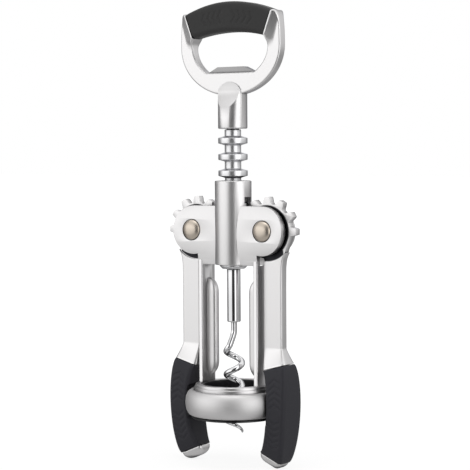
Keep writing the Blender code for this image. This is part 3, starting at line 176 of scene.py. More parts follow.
class CorkscrewSizes(bpy.types.PropertyGroup):
    """Sizes of the visible detail."""

    turned_steps: IntProperty(
        name="Turned Steps", description="Facets round each turned piece", default=96, min=24, max=192)
    edge_round: length("Edge Round", "Rounding of the castings' edges", 0.22, 0.0, 0.6)
    groove_depth: length("Groove Depth", "Depth of the chevron grooves in the soft grips", 0.24, 0.0, 0.6)
    groove_width: length("Groove Width", "Width of each chevron groove", 0.95, 0.2, 2.0)


class CorkscrewColours(bpy.types.PropertyGroup):
    """Colours of the finishes, as linear values."""

    nickel: colour("Satin Nickel", "Colour of the satin castings", (0.80, 0.79, 0.79))
    chrome: colour(
        "Polished Chrome", "Colour of the rack, the steel and the worm's holder", (0.84, 0.84, 0.85))
    pin: colour("Pin Heads", "Colour of the domed pin heads", (0.66, 0.585, 0.50))
    grip: colour("Wing Grips", "Colour of the wings' soft grips", (0.033, 0.0325, 0.040))
    top_grip: colour("Top Grip", "Colour of the handle's soft grip", (0.040, 0.0395, 0.0395))
    liner: colour("Bell Liner", "Colour of the liner inside the bell", (0.010, 0.010, 0.012))
    # The bush is a real part; its near-black colour is painted shade for the dark gap at the tube's mouth.
    bush: colour("Guide Bush", "Colour of the nylon bush", (0.020, 0.020, 0.022))


class CorkscrewStage(bpy.types.PropertyGroup):
    """The stage and its lamps."""

    left_power: power("Left Power", "Power of the large lamp on the left", 0.78)
    right_power: power("Right Power", "Power of the lamp on the right", 0.85)
    top_power: power("Top Power", "Power of the lamp overhead", 0.6)
    room_level: FloatProperty(
        name="Room Level", description="Level of the room's light on the corkscrew", default=0.5, min=0.0,
        max=1.0)


# Grids

def grid_faces(rows, columns, close_rows=False):
    """Four corners of every cell of a grid of points, as indices, wrapping round its columns.

    It wraps round its rows too where they are closed.
    """
    row = np.arange(rows if close_rows else rows - 1)[:, None]
    column = np.arange(columns)[None, :]
    row_after, column_after = (row + 1) % rows, (column + 1) % columns
    corners = np.stack([
        row * columns + column, row * columns + column_after,
        row_after * columns + column_after, row_after * columns + column], axis=-1)
    return corners.reshape(-1, 4).tolist()


def rounded(points, radius, closed=False, steps=4):
    """A polyline with each corner c replaced by the parabola (1-s)^2 a + 2s(1-s) c + s^2 b.

    a and b lie on the two sides, as far from c as a circle of the radius would touch them, and at most 45
    hundredths of the shorter side.
    """
    points = np.asarray(points, float)
    before = np.roll(points, 1, 0) - points
    after = np.roll(points, -1, 0) - points
    length_before = np.maximum(np.linalg.norm(before, axis=1), 1e-9)[:, None]
    length_after = np.maximum(np.linalg.norm(after, axis=1), 1e-9)[:, None]
    before, after = before / length_before, after / length_after
    half = np.arccos(np.clip((before * after).sum(1), -1.0, 1.0)) / 2.0
    reach = np.broadcast_to(radius, len(points)) / np.maximum(np.tan(half), 1e-6)
    reach = np.minimum(reach, 0.45 * np.minimum(length_before, length_after)[:, 0])
    if not closed:
        reach[[0, -1]] = 0.0
    reach = reach[:, None]
    share = np.linspace(0.0, 1.0, steps + 1)[None, :, None]
    start, end = (points + before * reach)[:, None], (points + after * reach)[:, None]
    curve = (1 - share) ** 2 * start + 2 * share * (1 - share) * points[:, None] + share ** 2 * end
    curve = curve.reshape(-1, points.shape[1])
    keep = np.linalg.norm(curve - np.roll(curve, 1, 0), axis=1) > 1e-5
    keep[0] = True if not closed else keep[0]
    return curve[keep]


def turned(profile, steps=None):
    """A profile of (radius, height) turned round Z: x = r cos t, y = r sin t, z = height.

    A profile that starts off the axis is joined end to end into a ring.
    """
    profile = np.asarray(profile, float)
    steps = steps or bpy.context.scene.corkscrew_sizes.turned_steps
    turn = 2.0 * np.pi * np.arange(steps) / steps
    radius, height = profile[:, :1], profile[:, 1:]
    points = np.stack([radius * np.cos(turn), radius * np.sin(turn), height + 0.0 * turn], axis=-1)
    return points.reshape(-1, 3), grid_faces(len(profile), steps, close_rows=profile[0, 0] > 1e-6)


def rod(radius, low, high, steps=None, rounding=0.0):
    """A round bar on the Z axis, its edges rounded."""
    return turned(rounded([(0.0, high), (radius, high), (radius, low), (0.0, low)], rounding), steps)


def laid_forward(solid, x, z):
    """A turned solid laid along Y, its top to the front, about the point x, z."""
    points, faces = solid
    return np.stack([points[:, 0] + x, -points[:, 2], points[:, 1] + z], axis=1), faces


def skin(sections, closed=False):
    """Rows of equally many points joined into a tube, with its ends capped or joined to each other."""
    rows, columns = sections.shape[:2]
    faces = grid_faces(rows, columns, close_rows=closed)
    if not closed:
        faces += [list(range(columns)), list(range((rows - 1) * columns, rows * columns))]
    return sections.reshape(-1, 3), faces


def prism(outline, low, high):
    """An outline of (x, z) points drawn straight along Y from low to high."""
    return skin(np.stack([np.insert(np.asarray(outline, float), 1, depth, axis=1) for depth in (low, high)]))


def mirrored(solid, side):
    """The solid as it is on the right, or turned over to the left."""
    points, faces = solid
    return points * np.array([side, 1.0, 1.0]), faces


def perimeter(across_steps, depth_steps, corner_steps):
    """Where each point of a rounded rectangle lies, as shares of its straight halves and corner radius.

    A point is (e_a (A - r) + c_a r, e_b (B - r) + c_b r), with A and B the half sizes and r the corner.
    """
    signs = np.array([(1, 1), (-1, 1), (-1, -1), (1, -1)], float)
    rows = []
    for quarter, steps in enumerate((across_steps, depth_steps, across_steps, depth_steps)):
        turn = (quarter + np.linspace(0.0, 1.0, corner_steps + 1)) * np.pi / 2.0
        corner = np.broadcast_to(signs[quarter], (len(turn), 2))
        rows.append(np.hstack([corner, np.cos(turn)[:, None], np.sin(turn)[:, None]]))
        share = np.linspace(0.0, 1.0, steps + 1)[1:-1, None]
        side = signs[quarter] * (1 - share) + signs[(quarter + 1) % 4] * share
        facing = np.array([np.cos(turn[-1]), np.sin(turn[-1])])
        rows.append(np.hstack([side, np.broadcast_to(facing, side.shape)]))
    return np.vstack(rows)


def crosswise(rails):
    """The unit vectors from the inside to the outside of each row of rails, and half the way across."""
    across = rails[:, 2:4] - rails[:, 0:2]
    width = np.linalg.norm(across, axis=1)[:, None]
    return across / width, width / 2.0


def swept(rails, around):
    """Rounded rectangles between two rails in the XZ plane.

    Each row of rails is inside x and z, outside x and z, half depth along Y and corner radius.
    """
    across, half = crosswise(rails)
    depth = rails[:, 4:5]
    corner = np.minimum(rails[:, 5:6], np.minimum(half, depth))
    along = around[:, 0] * (half - corner) + around[:, 2] * corner
    y = around[:, 1] * (depth - corner) + around[:, 3] * corner
    x, z = ((rails[:, [axis]] + rails[:, [axis + 2]]) / 2.0 + across[:, [axis]] * along for axis in (0, 1))
    return np.stack([x, y, z], axis=-1)


def through(stations, steps):
    """A smooth run through stations: cubic pieces whose slope at each is half its neighbours' difference."""
    slope = np.gradient(stations, axis=0)
    share = (np.arange(steps) / steps)[None, :, None]
    start, end = stations[:-1, None], stations[1:, None]
    slope_start, slope_end = slope[:-1, None], slope[1:, None]
    run = ((2 * share ** 3 - 3 * share ** 2 + 1) * start + (share ** 3 - 2 * share ** 2 + share) * slope_start
           + (3 * share ** 2 - 2 * share ** 3) * end + (share ** 3 - share ** 2) * slope_end)
    return np.vstack([run.reshape(-1, stations.shape[1]), stations[-1:]])


def drawn_in(rail):
    """One rail row drawn in on every side by 0.45 mm, and by 0.12 mm, which rounds a sleeve's end."""
    rows = np.tile(np.asarray(rail, float), (2, 1))
    step = np.array([[0.45], [0.12]])
    across, _ = crosswise(rows)
    rows[:, 0:2] += across * step
    rows[:, 2:4] -= across * step
    rows[:, 4:6] -= step
    return rows


def smooth_step(low, high, value):
    """3t^2 - 2t^3 of the share t of the way from low to high."""
    share = np.clip((value - low) / (high - low), 0.0, 1.0)
    return share * share * (3.0 - 2.0 * share)


# Meshes

def linked(name, data):
    """A new object in the scene."""
    item = bpy.data.objects.new(name, data)
    bpy.context.scene.collection.objects.link(item)
    return item


def welded(mesh, outward=False):
    """The mesh with its close points joined, and its faces pointing out or its slivers dissolved."""
    work = bmesh.new()
    work.from_mesh(mesh)
    bmesh.ops.remove_doubles(work, verts=work.verts, dist=MERGE)
    if outward:
        bmesh.ops.recalc_face_normals(work, faces=work.faces)
    else:
        bmesh.ops.dissolve_degenerate(work, edges=work.edges, dist=MERGE)
    work.to_mesh(mesh)
    work.free()
    return mesh


def mesh_of(name, solid):
    """A mesh in metres of a solid given in millimetres."""
    points, faces = solid
    mesh = bpy.data.meshes.new(name)
    mesh.from_pydata(points * MM, [], faces)
    return welded(mesh, outward=True)


def applied(item, name):
    """The mesh of an object with its modifiers applied; the object is removed."""
    graph = bpy.context.evaluated_depsgraph_get()
    mesh = bpy.data.meshes.new_from_object(item.evaluated_get(graph))
    mesh.name = name
    bpy.data.objects.remove(item, do_unlink=True)
    return mesh


def edge_rounded(mesh, width, angle, segments=2):
    """The mesh with its edges over an angle rounded by a width in millimetres."""
    item = linked(mesh.name + "_edges", mesh)
    bevel = item.modifiers.new("edges", 'BEVEL')
    bevel.width = width * MM
    bevel.segments = segments
    bevel.limit_method = 'ANGLE'
    bevel.angle_limit = math.radians(angle)
    bevel.use_clamp_overlap = True
    bevel.miter_outer = 'MITER_ARC'
    return applied(item, mesh.name)


def combined(mesh, joined=(), cut=(), kept=()):
    """The mesh joined to the first meshes, cut to what lies in the last, and cut by the others."""
    item = linked(mesh.name + "_whole", mesh)
    others = []
    for operation, meshes in (('UNION', joined), ('INTERSECT', kept), ('DIFFERENCE', cut)):
        for other_mesh in meshes:
            other = linked(other_mesh.name + "_other", other_mesh)
            step = item.modifiers.new(other.name, 'BOOLEAN')
            step.operation = operation
            step.solver = 'EXACT'
            step.object = other
            others.append(other)
    result = applied(item, mesh.name)
    for other in others:
        bpy.data.objects.remove(other, do_unlink=True)
    return welded(result)


def hole(name, radius, x=0.0, z=0.0, steps=32):
    """A cutter that runs through from front to back."""
    return mesh_of(name, laid_forward(rod(radius, -CUT_REACH, CUT_REACH, steps), x, z))


def add_piece(name, mesh, node, body, look, crease=38.0):
    """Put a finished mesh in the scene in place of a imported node, riding on its body."""
    mesh.name = name
    mesh.materials.clear()
    mesh.materials.append(finish(look))
    mesh.shade_smooth()
    mesh.set_sharp_from_angle(angle=math.radians(crease))
    item = linked(name, mesh)
    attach(item, body)
    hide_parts(node)


# Finishes

SOCKET_KINDS = {
    "Colour": "NodeSocketColor", "Stretch": "NodeSocketVector", **dict.fromkeys((
        "Scale", "Colour Shift", "Roughness", "Roughness Shift", "Amount", "Height", "Mask"),
        "NodeSocketFloat")}


def feed(tree, node, inputs):
    """Give each named or numbered input of a node its value, or the output socket that feeds it."""
    for key, value in inputs.items():
        if isinstance(value, bpy.types.NodeSocket):
            tree.links.new(value, node.inputs[key])
        else:
            node.inputs[key].default_value = value


def add_node(tree, kind, inputs, **settings):
    """The outputs of a new shader node with its settings and inputs."""
    node = tree.nodes.new("ShaderNode" + kind)
    for key, value in settings.items():
        setattr(node, key, value)
    feed(tree, node, inputs)
    return node.outputs


def calculated(tree, operation, *operands):
    """The number that a Math node makes of its operands."""
    return add_node(tree, "Math", dict(enumerate(operands)), operation=operation)[0]


def of_vectors(tree, operation, *operands):
    """The vector and the number that a Vector Math node makes of its operands."""
    return add_node(tree, "VectorMath", dict(enumerate(operands)), operation=operation)


def ranged(tree, value, low, high, start=0.0, end=1.0):
    """A value drawn from low to high onto start to end, and held there outside them."""
    return add_node(tree, "MapRange", dict(enumerate((value, low, high, start, end))))[0]


def mixed(tree, factor, first, second, blend='MIX'):
    """The colour that a Mix node makes of two colours."""
    return add_node(tree, "Mix", {0: factor, 6: first, 7: second}, data_type='RGBA', blend_type=blend)[2]


def place_on(tree):
    """The object's own coordinates of the point that is shaded."""
    return add_node(tree, "TexCoord", {})["Object"]


def noise(tree, place, scale, detail, roughness=0.5):
    """The height of a noise."""
    return add_node(tree, "TexNoise", {
        "Vector": place, "Scale": scale, "Detail": detail, "Roughness": roughness})["Fac"]


def group_outputs(tree, fill, inputs):
    """The outputs of a node of the group that fill makes, once, under its own name.

    fill gets the group's tree and its inputs, and returns what feeds each output.
    """
    group = bpy.data.node_groups.get(fill.__name__)
    if not group:
        group = bpy.data.node_groups.new(fill.__name__, 'ShaderNodeTree')
        for label in inputs:
            group.interface.new_socket(label, in_out='INPUT', socket_type=SOCKET_KINDS[label])
        sources = fill(group, group.nodes.new('NodeGroupInput').outputs)
        for label in sources:
            group.interface.new_socket(label, in_out='OUTPUT', socket_type=SOCKET_KINDS[label])
        feed(group, group.nodes.new('NodeGroupOutput'), sources)
    return add_node(tree, "Group", inputs, node_tree=group)


def plating_tone(tree, given):
    """Broad soft clouds that shift a colour and a roughness a little, as plating and moulding do."""
    cloud = noise(tree, place_on(tree), given["Scale"], 4.0, 0.55)
    centred = calculated(tree, 'SUBTRACT', cloud, 0.5)
    shift = calculated(tree, 'MULTIPLY_ADD', centred, given["Colour Shift"], 1.0)
    rough = calculated(tree, 'MULTIPLY_ADD', centred, given["Roughness Shift"], given["Roughness"])
    return {"Colour": mixed(tree, 1.0, given["Colour"], shift, 'MULTIPLY'), "Roughness": rough}


def surface_grain(tree, given):
    """Fine grain as a height: noise, pearly when its stretch is even and brushed when drawn out."""
    drawn = of_vectors(tree, 'MULTIPLY', place_on(tree), given["Stretch"])[0]
    return {"Height": noise(tree, drawn, given["Scale"], 3.0, 0.6)}


def handling_scuffs(tree, given):
    """A roughness raised along sparse fine scuffs: thin lines between cells, faded by a slow noise."""
    place = place_on(tree)
    cells = add_node(tree, "TexVoronoi", {"Vector": place, "Scale": 260.0}, feature='DISTANCE_TO_EDGE')
    lines = ranged(tree, cells["Distance"], 0.0, 0.035, 1.0, 0.0)
    patches = ranged(tree, noise(tree, place, 60.0, 2.0), 0.55, 0.75)
    scuffs = calculated(tree, 'MULTIPLY', calculated(tree, 'MULTIPLY', lines, patches), given["Amount"])
    return {"Roughness": calculated(tree, 'MULTIPLY_ADD', scuffs, 0.15, given["Roughness"])}


def painted_crevice_shade(tree, given):
    """Painted shade in crevices as a mask: its amount where surfaces stand close round a point, else 0."""
    sky = add_node(tree, "AmbientOcclusion", {"Distance": 2.6 * MM}, samples=8)["AO"]
    return {"Mask": calculated(tree, 'MULTIPLY', ranged(tree, sky, 0.28, 0.82, 1.0, 0.0), given["Amount"])}


def opener_lip_shade(tree, given):
    """Painted shade on the opener lip's face as a mask: one half from the ring's floor to the lip's tip."""
    x, _, z = add_node(tree, "SeparateXYZ", {0: place_on(tree)})
    across = calculated(tree, 'COMPARE', x, 0.0, LIP_MARK * MM)
    height = calculated(tree, 'COMPARE', z, (HOLE_FLOOR + 1.6) * MM, 1.5 * MM)
    return {"Mask": calculated(tree, 'MULTIPLY', calculated(tree, 'MULTIPLY', across, height), 0.5)}


def web_gap_shade(tree, given):
    """Painted shade on a sector's web between cheek and arm, as a mask: within a radius of the pivot, wider
    under the arm.
    """
    folded = of_vectors(tree, 'ABSOLUTE', place_on(tree))[0]
    _, y, z = add_node(tree, "SeparateXYZ", {0: folded})
    flat = of_vectors(tree, 'MULTIPLY', folded, (1.0, 0.0, 1.0))[0]
    away = of_vectors(tree, 'DISTANCE', flat, (PIVOT_X * MM, 0.0, PIVOT_Z * MM))[1]
    reach = ranged(
        tree, z, (PIVOT_Z - 9.5) * MM, (PIVOT_Z - 7.5) * MM, (SHOULDER - 0.1) * MM, (GEAR_ROOT - 0.45) * MM)
    inside = ranged(tree, calculated(tree, 'SUBTRACT', reach, away), 0.0, 0.35 * MM)
    web = calculated(tree, 'LESS_THAN', y, (GEAR_DEPTH + 0.2) * MM)
    return {"Mask": calculated(tree, 'MULTIPLY', inside, web)}


class Finish(NamedTuple):
    """How a surface looks, as satin metal unless it says otherwise.

    bump is in millimetres, tone is the scale of its clouds and what they shift the colour and the roughness
    by, the crevice shade amount is how much painted shade darkens its crevices, dark holds the groups that
    paint shade onto other parts, and sockets holds other values of its shader.
    """

    colour: str
    roughness: float
    metallic: float = 1.0
    stretch: tuple = (1.0, 1.0, 1.0)
    grain: float = 2600.0
    bump: float = 0.0016
    tone: tuple = (70.0, 0.05, 0.06)
    scuffs: float = 0.4
    # How much painted shade darkens the finish's crevices.
    crevice_shade_amount: float = 0.85
    dark: tuple = ()
    sockets: dict = {"Specular Tint": (0.30, 0.30, 0.32, 1.0)}


TURNING = (0.15, 0.15, 3.0)
RUBBER = {"Specular IOR Level": 0.3, "Sheen Weight": 0.03, "Sheen Roughness": 0.5}
FINISHES = {
    "pearl_nickel": Finish("nickel", 0.38, crevice_shade_amount=0.55),
    "bell_nickel": Finish("nickel", 0.54),
    # The levers get painted shade on the sector's web between cheek and arm.
    "lever_nickel": Finish("nickel", 0.36, dark=(web_gap_shade,)),
    # The handle gets painted shade on its opener lip's face.
    "handle_nickel": Finish("nickel", 0.34, dark=(opener_lip_shade,)),
    "rack_plating": Finish("chrome", 0.33, 1.0, TURNING, 1500.0, 0.0006, (120.0, 0.04, 0.04), 0.6),
    "mirror_chrome": Finish("chrome", 0.05, 1.0, TURNING, 1500.0, 0.0003, (120.0, 0.03, 0.02), 0.6),
    "drawn_steel": Finish("chrome", 0.03, grain=1800.0, bump=0.0002, tone=(150.0, 0.04, 0.02), scuffs=0.5),
    "spun_pin": Finish("pin", 0.34, 1.0, (1.0, 0.3, 1.0), 2200.0, 0.0025, (160.0, 0.08, 0.08), 0.5),
    "wing_rubber": Finish(
        "grip", 0.58, 0.0, grain=3200.0, bump=0.02, tone=(110.0, 0.10, 0.06), scuffs=0.3, sockets=RUBBER),
    "handle_rubber": Finish(
        "top_grip", 0.58, 0.0, grain=3200.0, bump=0.02, tone=(110.0, 0.10, 0.06), scuffs=0.3,
        sockets=RUBBER),
    "liner_plastic": Finish(
        "liner", 0.32, 0.0, grain=2400.0, bump=0.004, tone=(90.0, 0.08, 0.05), sockets={}),
    # The bush is a real part; its near-black colour is painted shade for the dark gap at the tube's mouth.
    "bush_nylon_painted_shade": Finish(
        "bush", 0.45, 0.0, grain=2000.0, bump=0.004, tone=(90.0, 0.05, 0.05), scuffs=0.2, sockets={}),
}
# The tint that painted shade multiplies a finish's colour towards.
SHADE_TINT = (0.03, 0.03, 0.034, 1.0)


def new_material(name):
    """A new material, its tree and its Principled shader."""
    made = bpy.data.materials.new(name)
    made.use_nodes = True
    return made, made.node_tree, made.node_tree.nodes["Principled BSDF"]


def finish(name):
    """The material of a finish: its colour and roughness drift, and painted shade darkens it in crevices and
    on the parts its dark groups mark.
    """
    made = bpy.data.materials.get(name)
    if made:
        return made
    look = FINISHES[name]
    made, tree, shader = new_material(name)
    drift = group_outputs(tree, plating_tone, {
        "Colour": (*getattr(bpy.context.scene.corkscrew_colours, look.colour), 1.0), "Scale": look.tone[0],
        "Colour Shift": look.tone[1], "Roughness": look.roughness, "Roughness Shift": look.tone[2]})
    base = drift["Colour"]
    # Painted shade: crevices and the marked parts are multiplied towards the shade tint.
    shade_masks = [group_outputs(tree, painted_crevice_shade, {"Amount": look.crevice_shade_amount})]
    shade_masks += [group_outputs(tree, mark, {}) for mark in look.dark]
    for mask in shade_masks:
        base = mixed(tree, mask["Mask"], base, SHADE_TINT, 'MULTIPLY')
    worn = group_outputs(tree, handling_scuffs, {"Amount": look.scuffs, "Roughness": drift["Roughness"]})
    fine = group_outputs(tree, surface_grain, {"Stretch": look.stretch, "Scale": look.grain})
    relief = add_node(tree, "Bump", {
        "Strength": 1.0, "Distance": look.bump * MM, "Height": fine["Height"]})
    feed(tree, shader, {
        "Base Color": base, "Metallic": look.metallic, "Roughness": worn["Roughness"],
        "Normal": relief["Normal"], **look.sockets})
    return made


# Frame and bell

def cheek_mesh():
    """Both cheeks as one solid: round about each pivot, its faces arched from top to bottom.

    The face lies at y = D - (D - E) ((z - m) / h)^2, with D the depth at the middle height m and E at the
    top and bottom, h away.
    """
    foot = -math.acos((LEG_OUT - CHEEK_X) / CHEEK_RADIUS)
    turn = np.linspace(foot, np.pi / 2.0, 48)
    arc = np.stack([CHEEK_X + CHEEK_RADIUS * np.cos(turn), PIVOT_Z + CHEEK_RADIUS * np.sin(turn)], axis=1)
    right = np.vstack([[(LEG_OUT, TUBE_BOTTOM)], arc])
    outline = np.vstack([right, right[::-1] * np.array([-1.0, 1.0])])
    plate = mesh_of("cheeks", prism(outline, -CHEEK_DEPTH - 1.0, CHEEK_DEPTH + 1.0))
    middle = (PIVOT_Z + CHEEK_RADIUS + TUBE_BOTTOM) / 2.0
    reach = PIVOT_Z + CHEEK_RADIUS - middle
    height = np.linspace(-1.15, 1.15, 37)
    depth = CHEEK_DEPTH - (CHEEK_DEPTH - CHEEK_EDGE_DEPTH) * height ** 2
    face = np.stack([depth, middle + reach * height], axis=1)
    loop = np.vstack([face, face[::-1] * np.array([-1.0, 1.0])])
    arch = mesh_of("cheek_arch", skin(np.stack([np.insert(loop, 0, x, axis=1) for x in (-40.0, 40.0)])))
    return edge_rounded(combined(plate, kept=[arch]), CHEEK_ROUND, 50.0, 4)


def fin_solid(side):
    """A fin with round ends: its crest and width grow as sin t while its height grows as 1 - cos t."""
    turn = np.linspace(0.0, np.pi / 2.0, 14)
    low = FIN_LOW + FIN_TAPER * (1.0 - np.cos(turn))
    high = FIN_HIGH - FIN_TAPER * (1.0 - np.cos(turn[::-1]))
    swell = np.sin(np.concatenate([turn, turn[::-1]]))
    tip = LEG_IN - 0.5
    crest = tip - (tip - FIN_CREST) * swell
    width = FIN_END_WIDTH + (FIN_WIDTH - FIN_END_WIDTH) * swell
    height = np.concatenate([low, high])
    rails = np.stack([crest, height, np.full(28, LEG_IN + 1.0), height, width, width * 0.98], axis=1)
    return mirrored(skin(swept(rails, perimeter(2, 2, 6))), side)


def leg_solid(side):
    """A straight leg with rounded edges."""
    rails = np.array([
        (LEG_IN, height, LEG_OUT, height, LEG_DEPTH, LEG_ROUND)
        for height in (COLLAR_TOP - 0.5, TUBE_BOTTOM + 2.0)])
    return mirrored(skin(swept(rails, perimeter(4, 6, 4))), side)


def frame_mesh():
    """The frame casting: the tube, cheeks, legs, fins and collar joined, then bored and slotted."""
    tube = mesh_of("frame_tube", rod(TUBE_RADIUS, TUBE_BOTTOM, TUBE_TOP, rounding=TUBE_ROUND))
    joined = [cheek_mesh()]
    joined += [mesh_of("frame_leg", leg_solid(side)) for side, _ in SIDES]
    joined += [mesh_of("frame_fin", fin_solid(side)) for side, _ in SIDES]
    joined.append(mesh_of("frame_collar", turned(rounded([
        (COLLAR_BORE, COLLAR_TOP), (COLLAR_RIM, COLLAR_TOP), (COLLAR_RIM, COLLAR_RIM_LOW),
        (COLLAR_RADIUS, COLLAR_RIM_LOW), (COLLAR_RADIUS, SKIRT_LOW), (SKIRT_INNER, SKIRT_LOW),
        (SKIRT_INNER, COLLAR_LEDGE), (COLLAR_BORE, COLLAR_LEDGE)],
        np.array([0.2, 0.6, 0.2, 0.35, 0.2, 0.2, 0.3, 0.2]), closed=True))))
    cut = [
        mesh_of("tube_bore", turned([
            (0.0, TUBE_TOP + 2.0), (BUSH_POCKET, TUBE_TOP + 2.0), (BUSH_POCKET, BUSH_FLOOR),
            (TUBE_BORE, BUSH_FLOOR), (TUBE_BORE, TUBE_BOTTOM - 2.0), (0.0, TUBE_BOTTOM - 2.0)])),
        mesh_of("collar_bore", rod(COLLAR_BORE, 0.5, COLLAR_TOP + 0.4))]
    far = CHEEK_X + CHEEK_RADIUS + 2.0
    slot = [(SLOT_IN, SLOT_LOW), (far, SLOT_LOW), (far, SLOT_HIGH), (SLOT_IN, SLOT_HIGH)]
    half = [(0.0, CUT_REACH), (RECESS_RADIUS, CUT_REACH), (RECESS_RADIUS, RECESS_FLOOR),
            (HOLE_RADIUS, RECESS_FLOOR)]
    pivot = turned(half + [(radius, -height) for radius, height in half[::-1]], 64)
    for side, _ in SIDES:
        cut.append(mesh_of("gear_slot", mirrored(prism(slot, -SLOT_DEPTH, SLOT_DEPTH), side)))
        cut.append(mesh_of("pivot_hole", laid_forward(pivot, side * PIVOT_X, PIVOT_Z)))
    return combined(tube, joined=joined, cut=cut)


class CORKSCREW_OT_frame(bpy.types.Operator):
    """Make the frame casting"""

    bl_idname = "corkscrew.frame"
    bl_label = "Frame Casting"

    def execute(self, context):
        mesh = edge_rounded(frame_mesh(), context.scene.corkscrew_sizes.edge_round / MM, 35.0)
        add_piece("frame_body", mesh, "frame_casting", "frame", "pearl_nickel")
        return {'FINISHED'}


class CORKSCREW_OT_bell(bpy.types.Operator):
    """Make the bell's ring and its liner"""

    bl_idname = "corkscrew.bell"
    bl_label = "Bell"

    def execute(self, context):
        turn = np.linspace(np.pi / 2.0, -np.pi / 2.0, 40)
        middle, half = (RING_HIGH + RING_LOW) / 2.0, (RING_HIGH - RING_LOW) / 2.0
        edge = RING_BORE + 0.4
        belly = np.stack([
            edge + (RING_RADIUS - edge) * np.cos(turn) ** 0.8, middle + half * np.sin(turn)], axis=1)
        ring = np.vstack([belly, [(RING_BORE, RING_LOW), (RING_BORE, RING_HIGH)]])
        liner = rounded([
            (LINER_NECK_OUT, LINER_HIGH), (LINER_NECK_OUT, LINER_LEDGE), (LINER_OUT, LINER_LEDGE),
            (LINER_OUT, LINER_RIM_HIGH), (LINER_RIM, LINER_RIM_HIGH), (LINER_RIM, LINER_RIM_LOW),
            (LINER_OUT, LINER_RIM_LOW), (LINER_IN, LINER_RIM_LOW + 2.4), (LINER_IN, 0.0),
            (LINER_NECK_IN, 0.0), (LINER_NECK_IN, LINER_HIGH)], 0.22, closed=True)
        for name, profile, node, slot, look in (
                ("bell_band", ring, "bell_ring", "satin_nickel", "bell_nickel"),
                ("bell_lining", liner, "bell_liner", "black_plastic", "liner_plastic")):
            add_piece(name, mesh_of(name, turned(profile, 128)), node, "frame", look)
        return {'FINISHED'}


class CORKSCREW_OT_pivots(bpy.types.Operator):
    """Make the pivot pins and their washers"""

    bl_idname = "corkscrew.pivots"
    bl_label = "Pivot Pins"

    def execute(self, context):
        turn = np.linspace(np.pi / 2.0, 0.12, 14)
        dome = np.stack([
            PIN_HEAD * np.cos(turn), CHEEK_DEPTH - 0.5 + (PIN_RISE + 0.5) * np.sin(turn)], axis=1)
        dome[0, 0] = 0.0
        shank = rounded([
            dome[-1], (PIN_HEAD, PIN_SEAT), (PIN_RADIUS, PIN_SEAT), (PIN_RADIUS, -TAIL_SEAT),
            (TAIL_RADIUS, -TAIL_SEAT), (TAIL_RADIUS - 0.4, -TAIL_END), (0.0, -TAIL_END)], 0.15)
        pin = np.vstack([dome, shank[1:]])
        washer = rounded([
            (PIN_HEAD, -WASHER_LOW), (PIN_HEAD, -WASHER_HIGH), (HOLE_RADIUS, -WASHER_HIGH),
            (HOLE_RADIUS, -WASHER_LOW)], 0.12, closed=True)
        for side, word in SIDES:
            for kind, profile, slot, look in (
                    ("pin", pin, "brushed_brass", "spun_pin"),
                    ("washer", washer, "bright_steel", "drawn_steel")):
                mesh = mesh_of(kind, laid_forward(turned(profile, 64), side * PIVOT_X, PIVOT_Z))
                add_piece(f"{word}_{kind}", mesh, f"{word}_pivot_{kind}", "frame", look)
        return {'FINISHED'}


# Wings

def sector_outline():
    """The toothed sector and the web that carries the arm, as x and z from the pivot.

    A tooth's half angle at radius r is its half width on the pitch circle plus inv(pressure) - inv(a), with
    cos a = base / r and inv(a) = tan a - a, so its flanks are involutes of the base circle.
    """
    base = PITCH_RADIUS * math.cos(PRESSURE)
    radius = np.array([GEAR_ROOT, base, 12.9, 13.4, 13.9, 14.3, GEAR_TIP])
    slope = np.arccos(np.clip(base / np.maximum(radius, base), 0.0, 1.0))
    half = TOOTH_WIDTH / (2.0 * PITCH_RADIUS) + math.tan(PRESSURE) - PRESSURE - (np.tan(slope) - slope)
    half[0] += 0.05
    middle = (np.arange(TOOTH_COUNT) * TOOTH_TURN)[:, None]
    turn = np.hstack([middle - half, middle + half[::-1]]).ravel()
    reach = np.tile(np.concatenate([radius, radius[::-1]]), TOOTH_COUNT)
    inner = ARM_IN - PIVOT_X
    last = 1.5 * np.pi + math.asin(inner / GEAR_ROOT)
    turn = np.concatenate([turn, np.linspace(turn[-1], last, 9)[1:]])
    reach = np.concatenate([reach, np.full(8, GEAR_ROOT)])
    teeth = np.stack([reach * np.cos(turn), reach * np.sin(turn)], axis=1)
    low = -SHOULDER - ARM_DEPTH
    web = [(inner + 0.6, low), (ARM_OUT - PIVOT_X - 0.6, low), (8.4, -10.1), (9.5, -7.0), (11.2, -3.0)]
    return rounded(np.vstack([teeth, web]), 0.6, closed=True, steps=3)


def tip_rails():
    """Rails of a domed tip: its fall is T sin t and its sides draw in by (D - 0.8) (1 - cos t)."""
    start, end = np.array(GRIP_END[0]), np.array(GRIP_END[1])
    across = (end - start) / np.linalg.norm(end - start)
    down = np.array([across[1], -across[0]])
    turn = np.linspace(0.0, 0.5 * np.pi, 16)[:, None]
    shrink = TIP_SINK + (GRIP_END_DEPTH - 0.8) * (1.0 - np.cos(turn))
    fall = down * (TIP_SINK + TIP_RISE * np.sin(turn))
    return np.hstack([
        start + fall + across * shrink, end + fall - across * shrink, GRIP_END_DEPTH - shrink,
        np.maximum(GRIP_ROUND - shrink * 0.3, 0.2)])


def grip_rails(share):
    """Rails of a wing's grip at shares s of its length: straight from its top to its end, then bowed.

    The bow is (4 s (1 - s))^0.62 of what the belly stands out past the mean of the two ends.
    """
    share = np.asarray(share, float)[:, None]
    bow = np.maximum(4.0 * share * (1.0 - share), 0.0) ** 0.62
    top = np.array([*GRIP_TOP[0], *GRIP_TOP[1], GRIP_TOP_DEPTH, GRIP_ROUND])
    end = np.array([*GRIP_END[0], *GRIP_END[1], GRIP_END_DEPTH, GRIP_ROUND])
    belly = np.array([GRIP_BELLY_IN, 0.0, GRIP_BELLY_OUT, 0.0, GRIP_BELLY_DEPTH, 0.0])
    swelled = np.array([1.0, 0.0, 1.0, 0.0, 1.0, 0.0])
    return top * (1 - share) + end * share + (belly - (top + end) / 2.0) * swelled * bow


